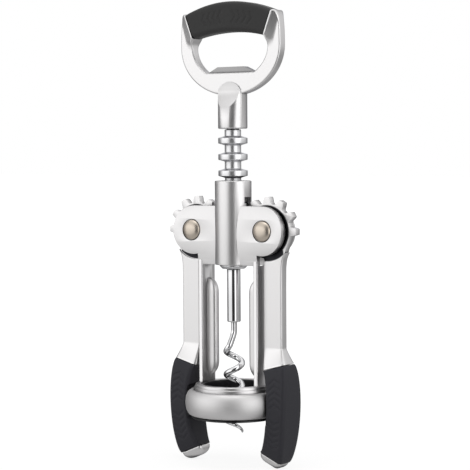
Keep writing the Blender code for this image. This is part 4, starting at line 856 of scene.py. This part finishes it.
def arm_rails():
    """Rails of the flat arm, from above its shoulder to where it flares as s^1.2 into the grip's top."""
    def across(height, spread=0.0):
        return np.array([ARM_IN, height, ARM_OUT + spread, height, ARM_DEPTH, ARM_ROUND])

    high = through(np.stack([across(*station) for station in ARM_SHOULDER]), 6)
    low = np.stack([across(height) for height in (*ARM_HEIGHTS, ARM_SWELL_Z + 0.3)])
    share = np.linspace(0.0, 1.0, 12)[:, None]
    flare = share ** 1.2
    foot = grip_rails([0.0])[0] + np.array([0.0, 0.3, 0.0, 0.3, 0.0, 0.0])
    pace = np.hstack([flare, share, flare, share, flare, flare])
    return np.vstack([high, low, across(ARM_SWELL_Z) + (foot - across(ARM_SWELL_Z)) * pace])


def core_rails(clearance=0.0):
    """Rails of the bar inside the wing's grip about the grip's middle line, or of its channel."""
    stations = grip_rails(np.linspace(0.0, 1.0, 49))
    middle = (stations[:, 0:2] + stations[:, 2:4]) / 2.0
    step = crosswise(stations)[0] * (CORE_HALF + clearance)
    stations[:, 0:2], stations[:, 2:4] = middle - step, middle + step
    stations[:, 4], stations[:, 5] = CORE_DEPTH + clearance, CORE_ROUND
    return stations


def lever_mesh(side):
    """A wing's lever: the toothed sector, the arm, the core and the tip."""
    points, faces = prism(sector_outline(), -GEAR_DEPTH, GEAR_DEPTH)
    sector = mesh_of("sector", mirrored((points + np.array([PIVOT_X, 0.0, PIVOT_Z]), faces), side))
    rails = np.vstack([arm_rails(), core_rails(), tip_rails()])
    arm = mesh_of("arm", mirrored(skin(swept(rails, perimeter(8, 4, 4))), side))
    arm = combined(arm, cut=[hole("shoulder", SHOULDER, side * PIVOT_X, PIVOT_Z, 128)])
    return combined(sector, joined=[arm], cut=[hole("lever_bore", HOLE_RADIUS, side * PIVOT_X, PIVOT_Z, 48)])


def grooved(rails, around, along, count, start, pitch, slope, reach):
    """A swept sleeve with chevron grooves pressed into its front and back.

    Groove i is the line |along| + slope |across| = start + i pitch, which points away from the middle. It is
    a cosine hollow across its width, and fades out where |across| passes the reach.
    """
    sizes = bpy.context.scene.corkscrew_sizes
    half, corner = crosswise(rails)[1], rails[:, 5:6]
    across = np.abs(around[:, 0] * (half - corner) + around[:, 2] * corner)
    place = (np.abs(along) + slope * across - start) / pitch
    nearest = np.clip(np.round(place), 0, count - 1)
    away = np.clip(np.abs(place - nearest) * pitch / (sizes.groove_width / MM), 0.0, 1.0)
    hollow = (0.5 + 0.5 * np.cos(np.pi * away)) * (1.0 - smooth_step(reach - 0.5, reach + 0.3, across))
    face = np.abs(around[:, 3]) > 0.99
    sleeve = swept(rails, around)
    sleeve[:, :, 1] -= np.sign(sleeve[:, :, 1]) * hollow * face * (sizes.groove_depth / MM)
    return sleeve


def wing_grip_solid(side):
    """A wing's soft grip: a swept sleeve with chevron grooves on both faces, scooped round the bell.

    Where a point would come nearer the worm's axis than R it moves out to x = sqrt(R^2 - y^2), only beside
    the bell.
    """
    rails = grip_rails((1.0 - np.cos(np.linspace(0.0, np.pi, 150))) / 2.0)
    rails = np.vstack([drawn_in(rails[0]), rails[1:-1], drawn_in(rails[-1])[::-1]])
    around = perimeter(36, 14, 8)
    middle = (rails[:, 0:2] + rails[:, 2:4]) / 2.0
    run = np.concatenate([[0.0], np.cumsum(np.linalg.norm(np.diff(middle, axis=0), axis=1))])
    outer = grooved(rails, around, (run - run[-1] / 2.0)[:, None], *WING_GROOVES)
    x, y, z = outer[:, :, 0], outer[:, :, 1], outer[:, :, 2]
    beside = smooth_step(*BELL_FOOT, z) * (1.0 - smooth_step(*BELL_BROW, z))
    clear = np.sqrt(np.maximum(BELL_CLEAR ** 2 - y ** 2, 0.0))
    outer[:, :, 0] += np.maximum(clear - x, 0.0) * beside
    channel = core_rails(CORE_CLEARANCE)[::2]
    return mirrored(skin(np.vstack([outer, swept(channel[::-1], around)]), closed=True), side)


class CORKSCREW_OT_wings(bpy.types.Operator):
    """Make both wings' levers"""

    bl_idname = "corkscrew.wings"
    bl_label = "Wing Levers"

    def execute(self, context):
        for side, word in SIDES:
            mesh = edge_rounded(lever_mesh(side), context.scene.corkscrew_sizes.edge_round / MM, 40.0)
            add_piece(
                word + "_lever", mesh, word + "_wing_lever", word + "_wing", "lever_nickel")
        return {'FINISHED'}


class CORKSCREW_OT_wing_grips(bpy.types.Operator):
    """Make both wings' soft grips"""

    bl_idname = "corkscrew.wing_grips"
    bl_label = "Wing Grips"

    def execute(self, context):
        for side, word in SIDES:
            add_piece(
                word + "_grip", mesh_of("grip", wing_grip_solid(side)), word + "_wing_grip", word + "_wing",
                "wing_rubber", 50.0)
        return {'FINISHED'}


# Handle

def loop_rails():
    """Rails up the right half of the handle's ring: a floored ellipse inside, an ellipse outside, then up."""
    corner = math.asin((HOLE_FLOOR - LOOP_Z) / HOLE_DROP)
    floor = np.linspace(0.0, 1.0, 14)[:-1]
    turn_low = -np.pi / 2.0 + (corner + np.pi / 2.0) * floor
    inner_low = np.stack([HOLE_HALF * math.cos(corner) * floor, np.full(13, HOLE_FLOOR)], axis=1)
    turn_side = np.linspace(corner, 0.0, 22)
    inner_side = np.stack([HOLE_HALF * np.cos(turn_side), LOOP_Z + HOLE_DROP * np.sin(turn_side)], axis=1)
    turn = np.concatenate([turn_low, turn_side])
    outer = np.stack([LOOP_HALF * np.cos(turn), LOOP_Z + LOOP_DROP * np.sin(turn)], axis=1)
    low = np.hstack([np.vstack([inner_low, inner_side]), outer])
    share = np.linspace(0.0, 1.0, 26)[1:, None]
    inner = np.array([HOLE_HALF, LOOP_Z]) * (1 - share) + np.array(END_IN) * share
    inner[:, :1] += 0.35 * np.sin(np.pi * share)
    rise = share * np.pi / 2.0
    spread = np.sqrt(np.maximum(np.cos(rise), 0.0))
    high = np.hstack([
        inner, END_OUT[0] + (LOOP_HALF - END_OUT[0]) * spread,
        LOOP_Z + (END_OUT[1] - LOOP_Z) * np.sin(rise)])
    return np.vstack([low, high])


def arch_rails(share):
    """Rails over the handle's top at shares from its right end to its middle."""
    share = np.asarray(share, float)[:, None]
    rise = 1.0 - (1.0 - share) ** 2
    return np.hstack([
        END_IN[0] * (1 - share), END_IN[1] + (UNDERSIDE - END_IN[1]) * rise,
        END_OUT[0] * (1 - share), END_OUT[1] + (CREST - END_OUT[1]) * rise,
        END_DEPTH + (MIDDLE_DEPTH - END_DEPTH) * smooth_step(0.0, 1.0, share),
        np.full_like(share, SLEEVE_ROUND)])


def core_arch(share, clearance=0.0):
    """Rails of the bar inside the handle's grip, or of its channel."""
    rails = arch_rails(share)
    step = crosswise(rails)[0] * (SLEEVE_COVER - clearance)
    rails[:, 0:2] += step
    rails[:, 2:4] -= step
    rails[:, 4], rails[:, 5] = LOOP_DEPTH + clearance, ARCH_ROUND + clearance
    return rails


def both_sides(half):
    """The sections of the right half, followed by the same turned over to the left in reverse order."""
    return np.vstack([half, (half[::-1] * np.array([-1.0, 1.0, 1.0]))[1:]])


def ring_solid():
    """The handle's ring as one closed sweep, whose faces ramp up to the grip's ends.

    The depth grows from the ring's to the grip's as (1 - (d - 0.4) / L)^1.3 at the distance d from the
    grip's end, so the last 0.4 mm are flat. L is longest at the inside and shortest at the outside.
    """
    rails = loop_rails()
    around = perimeter(20, 6, 4)
    rails = np.hstack([rails, np.full((len(rails), 1), LOOP_DEPTH), np.full((len(rails), 1), LOOP_ROUND)])
    low = swept(rails, around)
    half = crosswise(rails)[1]
    share = 0.5 + (around[:, 0] * (half - LOOP_ROUND) + around[:, 2] * LOOP_ROUND) / (2.0 * half)
    normal = np.array([END_OUT[1] - END_IN[1], END_IN[0] - END_OUT[0]])
    normal /= np.linalg.norm(normal)
    away = np.abs((low[:, :, 0] - END_IN[0]) * normal[0] + (low[:, :, 2] - END_IN[1]) * normal[1])
    above = smooth_step(LOOP_Z - 1.0, LOOP_Z + 3.0, low[:, :, 2])
    reach = RAMP_INSIDE + (RAMP_OUTSIDE - RAMP_INSIDE) * share
    ramp = np.clip(1.0 - (away - RAMP_FLAT) / reach, 0.0, 1.0) ** 1.3 * above
    low[:, :, 1] *= 1.0 + (END_DEPTH / LOOP_DEPTH - 1.0) * ramp
    core = swept(core_arch(np.linspace(0.0, 1.0, 30)), around)
    return skin(both_sides(np.vstack([low, core]))[:-1], closed=True)


def neck_mesh():
    """The handle's neck: a bar with an arched top, its front and back scooped up to the ring."""
    bar = mesh_of("neck_bar", rod(NECK_RADIUS, NECK_LOW, NECK_HIGH + 1.0, rounding=NECK_ROUND))
    turn = np.linspace(0.0, np.pi, 40)
    arch = np.stack([NECK_ARCH * np.cos(turn), NECK_HIGH - NECK_ARCH + NECK_ARCH * np.sin(turn)], axis=1)
    arch = np.vstack([arch, [(-NECK_ARCH, NECK_LOW - 2.0), (NECK_ARCH, NECK_LOW - 2.0)]])
    wedges = []
    for side in (-1, 1):
        outline = np.array(FACET_OUTLINE) * np.array([side, 1.0])
        points, faces = prism(
            rounded(outline, np.array([0.0, FACET_ROUND, 0.0, 0.0, 0.0]), closed=True), -CUT_REACH, CUT_REACH)
        wedges.append(mesh_of("neck_scoop", (points[:, [1, 0, 2]], faces)))
    return combined(bar, kept=[mesh_of("neck_arch", prism(arch, -CUT_REACH, CUT_REACH))], cut=wedges)


class CORKSCREW_OT_handle(bpy.types.Operator):
    """Make the handle's ring with its neck and opener lip"""

    bl_idname = "corkscrew.handle"
    bl_label = "Opener Handle"

    def execute(self, context):
        width = 1.5 * context.scene.corkscrew_sizes.edge_round / MM
        points, faces = prism(rounded(LIP_OUTLINE, LIP_ROUND, closed=True), LIP_FRONT, LIP_BACK)
        points[:, 1] -= np.where(points[:, 1] < 0.0, (points[:, 2] - LIP_MIDDLE) * LIP_LEAN, 0.0)
        dowel_hole = rod(NECK_DOWEL_HOLE, -CUT_REACH, NECK_DOWEL_END, 32)
        cut = [
            mesh_of("stub_socket", rod(STUB_BORE, NECK_LOW - 2.0, STUB_TOP + SOCKET_GAP)),
            mesh_of("dowel_hole", laid_forward(dowel_hole, 0.0, NECK_DOWEL_Z))]
        ring = mesh_of("handle_ring", ring_solid())
        mesh = combined(ring, joined=[neck_mesh(), mesh_of("opener_lip", (points, faces))], cut=cut)
        add_piece(
            "handle_casting", edge_rounded(mesh, width, 35.0), "opener_handle", "spindle",
            "handle_nickel")
        return {'FINISHED'}


class CORKSCREW_OT_handle_grip(bpy.types.Operator):
    """Make the soft grip over the handle's top"""

    bl_idname = "corkscrew.handle_grip"
    bl_label = "Handle Grip"

    def execute(self, context):
        rails = arch_rails(np.concatenate([[0.0135, 0.016], np.linspace(0.03, 1.0, 76)]))
        rails[0], rails[1] = drawn_in(rails[0])[0], drawn_in(rails[1])[1]
        around = perimeter(36, 12, 8)
        outer = grooved(rails, around, (rails[:, 0:1] + rails[:, 2:3]) / 2.0, *HANDLE_GROOVES)
        channel = swept(core_arch(np.linspace(0.0135, 1.0, 24), CORE_CLEARANCE), around)
        rows = np.vstack([both_sides(outer), both_sides(channel)[::-1]])
        add_piece(
            "handle_sleeve", mesh_of("handle_sleeve", skin(rows, closed=True)), "handle_grip", "spindle",
            "handle_rubber", 50.0)
        return {'FINISHED'}


# Spindle

def rack_profile():
    """The rack's outline from its stub to its end: eight rings, one for each tooth's pitch."""
    centre = (PIVOT_Z + (np.arange(5, -3, -1) + 0.5) * RACK_PITCH)[:, None]
    rings = np.stack([
        np.tile([RACK_ROOT, RACK_RADIUS, RACK_RADIUS, RACK_ROOT], (8, 1)),
        centre + np.array([RING_ROOT, RING_RIM, -RING_RIM, -RING_ROOT]) / 2.0], axis=-1).reshape(-1, 2)
    head = [(0.0, STUB_TOP), (STUB_RADIUS, STUB_TOP), (STUB_RADIUS, RACK_HIGH), (RACK_ROOT, RACK_HIGH)]
    end = [(RACK_ROOT, RACK_END_HIGH), (RACK_END, RACK_END_HIGH), (RACK_END, RACK_LOW + RACK_CHAMFER),
           (RACK_END - RACK_CHAMFER, RACK_LOW), (0.0, RACK_LOW)]
    return rounded(np.vstack([head, rings, end]), 0.32)


def worm_solid():
    """The worm's wire: a circle carried along a right-handed helix, x = r cos t, y = r sin t.

    t turns once in each pitch of height, but stays level where the wire leaves the axis, and r grows from 0
    as a smooth step below the straight shank. The wire thins as the square root of the distance to its point.
    """
    height = np.concatenate([
        np.linspace(SHANK_TOP, WORM_STRAIGHT, 12)[:-1], np.linspace(WORM_STRAIGHT, WORM_TIP, 260)])
    above = np.clip(height - TURN_START + TURN_BLEND, 0.0, 2.0 * TURN_BLEND)
    level = np.where(height > TURN_START + TURN_BLEND, TURN_START, height - above ** 2 / (4.0 * TURN_BLEND))
    turn = WORM_RIGHT_ANGLE + 2.0 * np.pi * (level - WORM_RIGHT_Z) / WORM_PITCH
    radius = COIL * smooth_step(0.0, WORM_SWING, WORM_STRAIGHT - height)
    line = np.stack([radius * np.cos(turn), radius * np.sin(turn), height], axis=1)
    along = np.gradient(line, axis=0)
    along /= np.linalg.norm(along, axis=1)[:, None]
    side = np.cross(along, np.array([0.31, 0.95, 0.0]))
    side /= np.linalg.norm(side, axis=1)[:, None]
    other = np.cross(along, side)
    thin = np.clip((height - WORM_TIP) / WORM_TAPER, 0.0, 1.0)
    wire = (WIRE_TIP + (WIRE - WIRE_TIP) * np.sqrt(thin))[:, None, None]
    turn = (2.0 * np.pi * np.arange(20) / 20)[None, :, None]
    return skin(line[:, None] + wire * (np.cos(turn) * side[:, None] + np.sin(turn) * other[:, None]))


class CORKSCREW_OT_spindle(bpy.types.Operator):
    """Make the rack, the worm's holder, the worm and the dowels"""

    bl_idname = "corkscrew.spindle"
    bl_label = "Rack and Worm"

    def execute(self, context):
        rack = combined(mesh_of("rack_rings", turned(rack_profile())), cut=[
            mesh_of("holder_socket", rod(HOLDER_BORE, RACK_LOW - 2.0, HOLDER_STUB_TOP + SOCKET_GAP)),
            hole("high_hole", NECK_DOWEL_HOLE, z=NECK_DOWEL_Z),
            hole("low_hole", ROD_DOWEL_HOLE, z=ROD_DOWEL_Z, steps=24)])
        add_piece("rack_rings", rack, "rack_shaft", "spindle", "rack_plating", 32.0)
        holder = mesh_of("worm_rod", turned(rounded([
            (0.0, HOLDER_STUB_TOP), (HOLDER_STUB, HOLDER_STUB_TOP), (HOLDER_STUB, HOLDER_HIGH),
            (HOLDER_RADIUS, HOLDER_HIGH), (HOLDER_RADIUS, HOLDER_LOW), (0.0, HOLDER_LOW)],
            np.array([0.0, 0.3, 0.1, 0.2, 0.6, 0.0]))))
        holder = combined(holder, cut=[
            mesh_of("shank_bore", rod(SHANK_BORE, HOLDER_LOW - 2.0, SHANK_TOP + SOCKET_GAP, 48)),
            hole("rod_hole", ROD_DOWEL_HOLE, z=ROD_DOWEL_Z, steps=24)])
        add_piece("worm_rod", holder, "worm_holder", "spindle", "mirror_chrome", 32.0)
        pieces = [("worm_coil", "worm", worm_solid())]
        for name, node, radius, front, back, height in (
                ("neck_dowel", "handle_dowel", NECK_DOWEL, 4.42, 5.95, NECK_DOWEL_Z),
                ("rod_dowel", "holder_dowel", ROD_DOWEL, 3.2, 3.2, ROD_DOWEL_Z)):
            pieces.append((name, node, laid_forward(rod(radius, -back, front, 32, 0.15), 0.0, height)))
        for name, node, solid in pieces:
            add_piece(name, mesh_of(name, solid), node, "spindle", "drawn_steel")
        return {'FINISHED'}


class CORKSCREW_OT_bush(bpy.types.Operator):
    """Make the guide bush in the tube's mouth"""

    bl_idname = "corkscrew.bush"
    bl_label = "Guide Bush"

    def execute(self, context):
        ring = rounded([
            (BUSH_RADIUS, BUSH_HIGH), (BUSH_RADIUS, BUSH_LOW), (TUBE_BORE, BUSH_LOW), (TUBE_BORE, BUSH_HIGH)],
            0.15, closed=True)
        mesh = mesh_of("bush_ring", turned(ring))
        add_piece("bush_ring", mesh, "guide_bush", "shaft_bush", "bush_nylon_painted_shade")
        return {'FINISHED'}


# Stage

def soft_lamp(name, energy, turn, distance, height, width, depth):
    """A rectangular area lamp that faces the corkscrew's axis.

    It stands at an angle to the right of the camera and at a distance and height in millimetres.
    """
    lamp = bpy.data.lights.new(name, 'AREA')
    lamp.shape = 'RECTANGLE'
    lamp.size = width * MM
    lamp.size_y = depth * MM
    lamp.energy = energy
    item = linked(name, lamp)
    turn = math.radians(turn + CAMERA_TURN)
    place = Vector((distance * math.sin(turn), -distance * math.cos(turn), height)) * MM
    item.location = place
    item.rotation_euler = (Vector((0.0, 0.0, LAMP_AIM * MM)) - place).to_track_quat('-Z', 'Y').to_euler()


def seen_directly(tree):
    """A mask that is 1 for rays from the camera, glossy rays and transmitted rays."""
    rays = add_node(tree, "LightPath", {})
    gloss = calculated(tree, 'MAXIMUM', rays["Is Camera Ray"], rays["Is Glossy Ray"])
    return calculated(tree, 'MAXIMUM', gloss, rays["Is Transmission Ray"])


def grey(level):
    """A grey as a colour socket's value."""
    return (level, level, level, 1.0)


def white_room():
    """The world: white to the camera and in reflections, and a plain level to the light on the corkscrew."""
    world = bpy.data.worlds.new("white_room")
    bpy.context.scene.world = world
    world.use_nodes = True
    tree = world.node_tree
    tree.nodes.clear()
    light, seen = (
        add_node(tree, "Background", {"Color": grey(level), "Strength": 1.0})[0]
        for level in (bpy.context.scene.corkscrew_stage.room_level, 1.0))
    both = add_node(tree, "MixShader", {0: seen_directly(tree), 1: light, 2: seen})[0]
    add_node(tree, "OutputWorld", {0: both})


def wall_cards():
    """The studio wall's finish: its light follows the angle round from the camera.

    There are a dim gap behind the camera, a pale wall on the right, dark flags at both sides of the white
    backdrop, and the backdrop itself. It is brighter higher up, and below the floor it is a plain grey.
    """
    made, tree, shader = new_material("wall_cards")
    x, y, z = add_node(tree, "SeparateXYZ", {0: add_node(
        tree, "VectorRotate", {"Vector": place_on(tree), "Angle": math.radians(-CAMERA_TURN)},
        rotation_type='Z_AXIS')[0]})
    angle = calculated(tree, 'ARCTAN2', x, calculated(tree, 'MULTIPLY', y, -1.0))
    walls = tree.nodes.new('ShaderNodeValToRGB')
    feed(tree, walls, {"Fac": calculated(tree, 'MULTIPLY_ADD', angle, 0.5 / math.pi, 0.5)})
    elements = walls.color_ramp.elements
    for degrees, _ in ROOM_LEVELS[1:-1]:
        elements.new((degrees + 180.0) / 360.0)
    for element, (degrees, level) in zip(elements, ROOM_LEVELS):
        element.position = (degrees + 180.0) / 360.0
        element.color = grey(level)
    climb = ranged(tree, z, WALL_DIM[0], WALL_BRIGHT[0], WALL_DIM[1], WALL_BRIGHT[1])
    graded = add_node(tree, "VectorMath", {0: walls.outputs["Color"], 3: climb}, operation='SCALE')[0]
    above = ranged(tree, z, WALL_FOOT, WALL_FOOT + 0.15)
    feed(tree, shader, {
        "Base Color": grey(0.0), "Specular IOR Level": 0.0, "Emission Strength": 1.0,
        "Emission Color": mixed(tree, above, grey(GROUND_LEVEL), graded)})
    return made


def studio_wall():
    """A round wall with a floor, in metres, that is seen only in reflections and casts no shadow."""
    profile = np.array([(0.0, WALL_FOOT), (WALL_REACH, WALL_FOOT), (WALL_REACH, WALL_TOP)]) / MM
    mesh = mesh_of("studio_wall", turned(profile))
    mesh.materials.append(wall_cards())
    wall = linked("studio_wall", mesh)
    wall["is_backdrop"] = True
    wall.visible_camera = False
    wall.visible_diffuse = False
    wall.visible_transmission = False
    wall.visible_shadow = False


def white_paper():
    """The floor's finish: white paper that the camera sees as white outside the corkscrew's shadow."""
    made, tree, shader = new_material("white_paper")
    seen = seen_directly(tree)
    reach = of_vectors(tree, 'LENGTH', place_on(tree))[1]
    glow = calculated(tree, 'MULTIPLY', ranged(tree, reach, 0.08, 0.4, 0.86, 1.0), seen)
    feed(tree, shader, {
        "Base Color": mixed(tree, seen, grey(0.7), grey(0.25)), "Roughness": 0.9, "Specular IOR Level": 0.0,
        "Emission Color": grey(1.0), "Emission Strength": glow})
    return made


def paper_floor():
    """A square of paper just under the corkscrew, which its reflections don't show."""
    corners = np.array([(-1, -1), (1, -1), (1, 1), (-1, 1)]) * FLOOR_REACH
    mesh = bpy.data.meshes.new("floor")
    mesh.from_pydata(np.insert(corners, 2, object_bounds()[0].z - FLOOR_GAP * MM, axis=1), [], [(0, 1, 2, 3)])
    mesh.materials.append(white_paper())
    floor = linked("floor", mesh)
    floor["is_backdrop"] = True
    floor.visible_glossy = False


def photo_camera():
    """The photograph's camera, turned to the right of the front, tilted down and rolled."""
    turn = math.radians(CAMERA_TURN)
    right = Vector((math.cos(turn), math.sin(turn), 0.0))
    place = Vector((CAMERA_DISTANCE * math.sin(turn), -CAMERA_DISTANCE * math.cos(turn), CAMERA_HEIGHT))
    place += right * CAMERA_SIDE
    pitch = math.atan2(CAMERA_HEIGHT - CAMERA_AIM, CAMERA_DISTANCE)
    forward = Vector((-math.sin(turn), math.cos(turn), 0.0)) * math.cos(pitch)
    forward.z = -math.sin(pitch)
    up = right.cross(forward)
    roll = math.radians(CAMERA_ROLL)
    across = right * math.cos(roll) + up * math.sin(roll)
    upward = up * math.cos(roll) - right * math.sin(roll)
    lens = bpy.data.cameras.new("camera")
    lens.lens = CAMERA_LENS
    lens.sensor_width = 36.0
    lens.clip_start = 0.05
    lens.clip_end = 50.0
    camera = linked("camera", lens)
    axes = [(*across, 0.0), (*upward, 0.0), (*-forward, 0.0), (*(place * MM), 1.0)]
    camera.matrix_world = Matrix(axes).transposed()
    bpy.context.scene.camera = camera


class CORKSCREW_OT_stage(bpy.types.Operator):
    """Make the floor, the lamps, the white room and the camera"""

    bl_idname = "corkscrew.stage"
    bl_label = "Stage"

    def execute(self, context):
        stage = context.scene.corkscrew_stage
        context.scene.view_settings.view_transform = 'Standard'
        white_room()
        studio_wall()
        soft_lamp("left_lamp", stage.left_power, -66.0, 620.0, 70.0, 800.0, 520.0)
        soft_lamp("right_lamp", stage.right_power, 38.0, 620.0, 70.0, 500.0, 520.0)
        soft_lamp("top_lamp", stage.top_power, -20.0, 120.0, 800.0, 420.0, 420.0)
        paper_floor()
        photo_camera()
        return {'FINISHED'}


OPERATORS = (
    CORKSCREW_OT_frame, CORKSCREW_OT_bell, CORKSCREW_OT_pivots, CORKSCREW_OT_wings, CORKSCREW_OT_wing_grips,
    CORKSCREW_OT_handle, CORKSCREW_OT_handle_grip, CORKSCREW_OT_spindle, CORKSCREW_OT_bush,
    CORKSCREW_OT_stage)
GROUPS = (
    (CorkscrewSizes, "corkscrew_sizes"), (CorkscrewColours, "corkscrew_colours"),
    (CorkscrewStage, "corkscrew_stage"))


class CORKSCREW_PT_panel(bpy.types.Panel):
    """Sizes, colours, the stage and one button for each piece"""

    bl_idname = "CORKSCREW_PT_panel"
    bl_label = "Wing Corkscrew"
    bl_space_type = 'VIEW_3D'
    bl_region_type = 'UI'
    bl_category = "Corkscrew"

    def draw(self, context):
        column = self.layout.column()
        for group, attribute in GROUPS:
            box = column.box()
            for name in group.__annotations__:
                box.prop(getattr(context.scene, attribute), name)
        for operator in OPERATORS:
            column.operator(operator.bl_idname)


def register():
    """Register the property groups, operators and panel."""
    for group, attribute in GROUPS:
        bpy.utils.register_class(group)
        setattr(bpy.types.Scene, attribute, PointerProperty(type=group))
    for operator in OPERATORS:
        bpy.utils.register_class(operator)
    bpy.utils.register_class(CORKSCREW_PT_panel)


def unregister():
    """Remove them again."""
    bpy.utils.unregister_class(CORKSCREW_PT_panel)
    for operator in reversed(OPERATORS):
        bpy.utils.unregister_class(operator)
    for group, attribute in reversed(GROUPS):
        delattr(bpy.types.Scene, attribute)
        bpy.utils.unregister_class(group)


def main():
    """Build every piece and the stage."""
    register()
    for operator in OPERATORS:
        getattr(bpy.ops.corkscrew, operator.bl_idname.split(".")[1])()


if __name__ == "__main__":
    main()
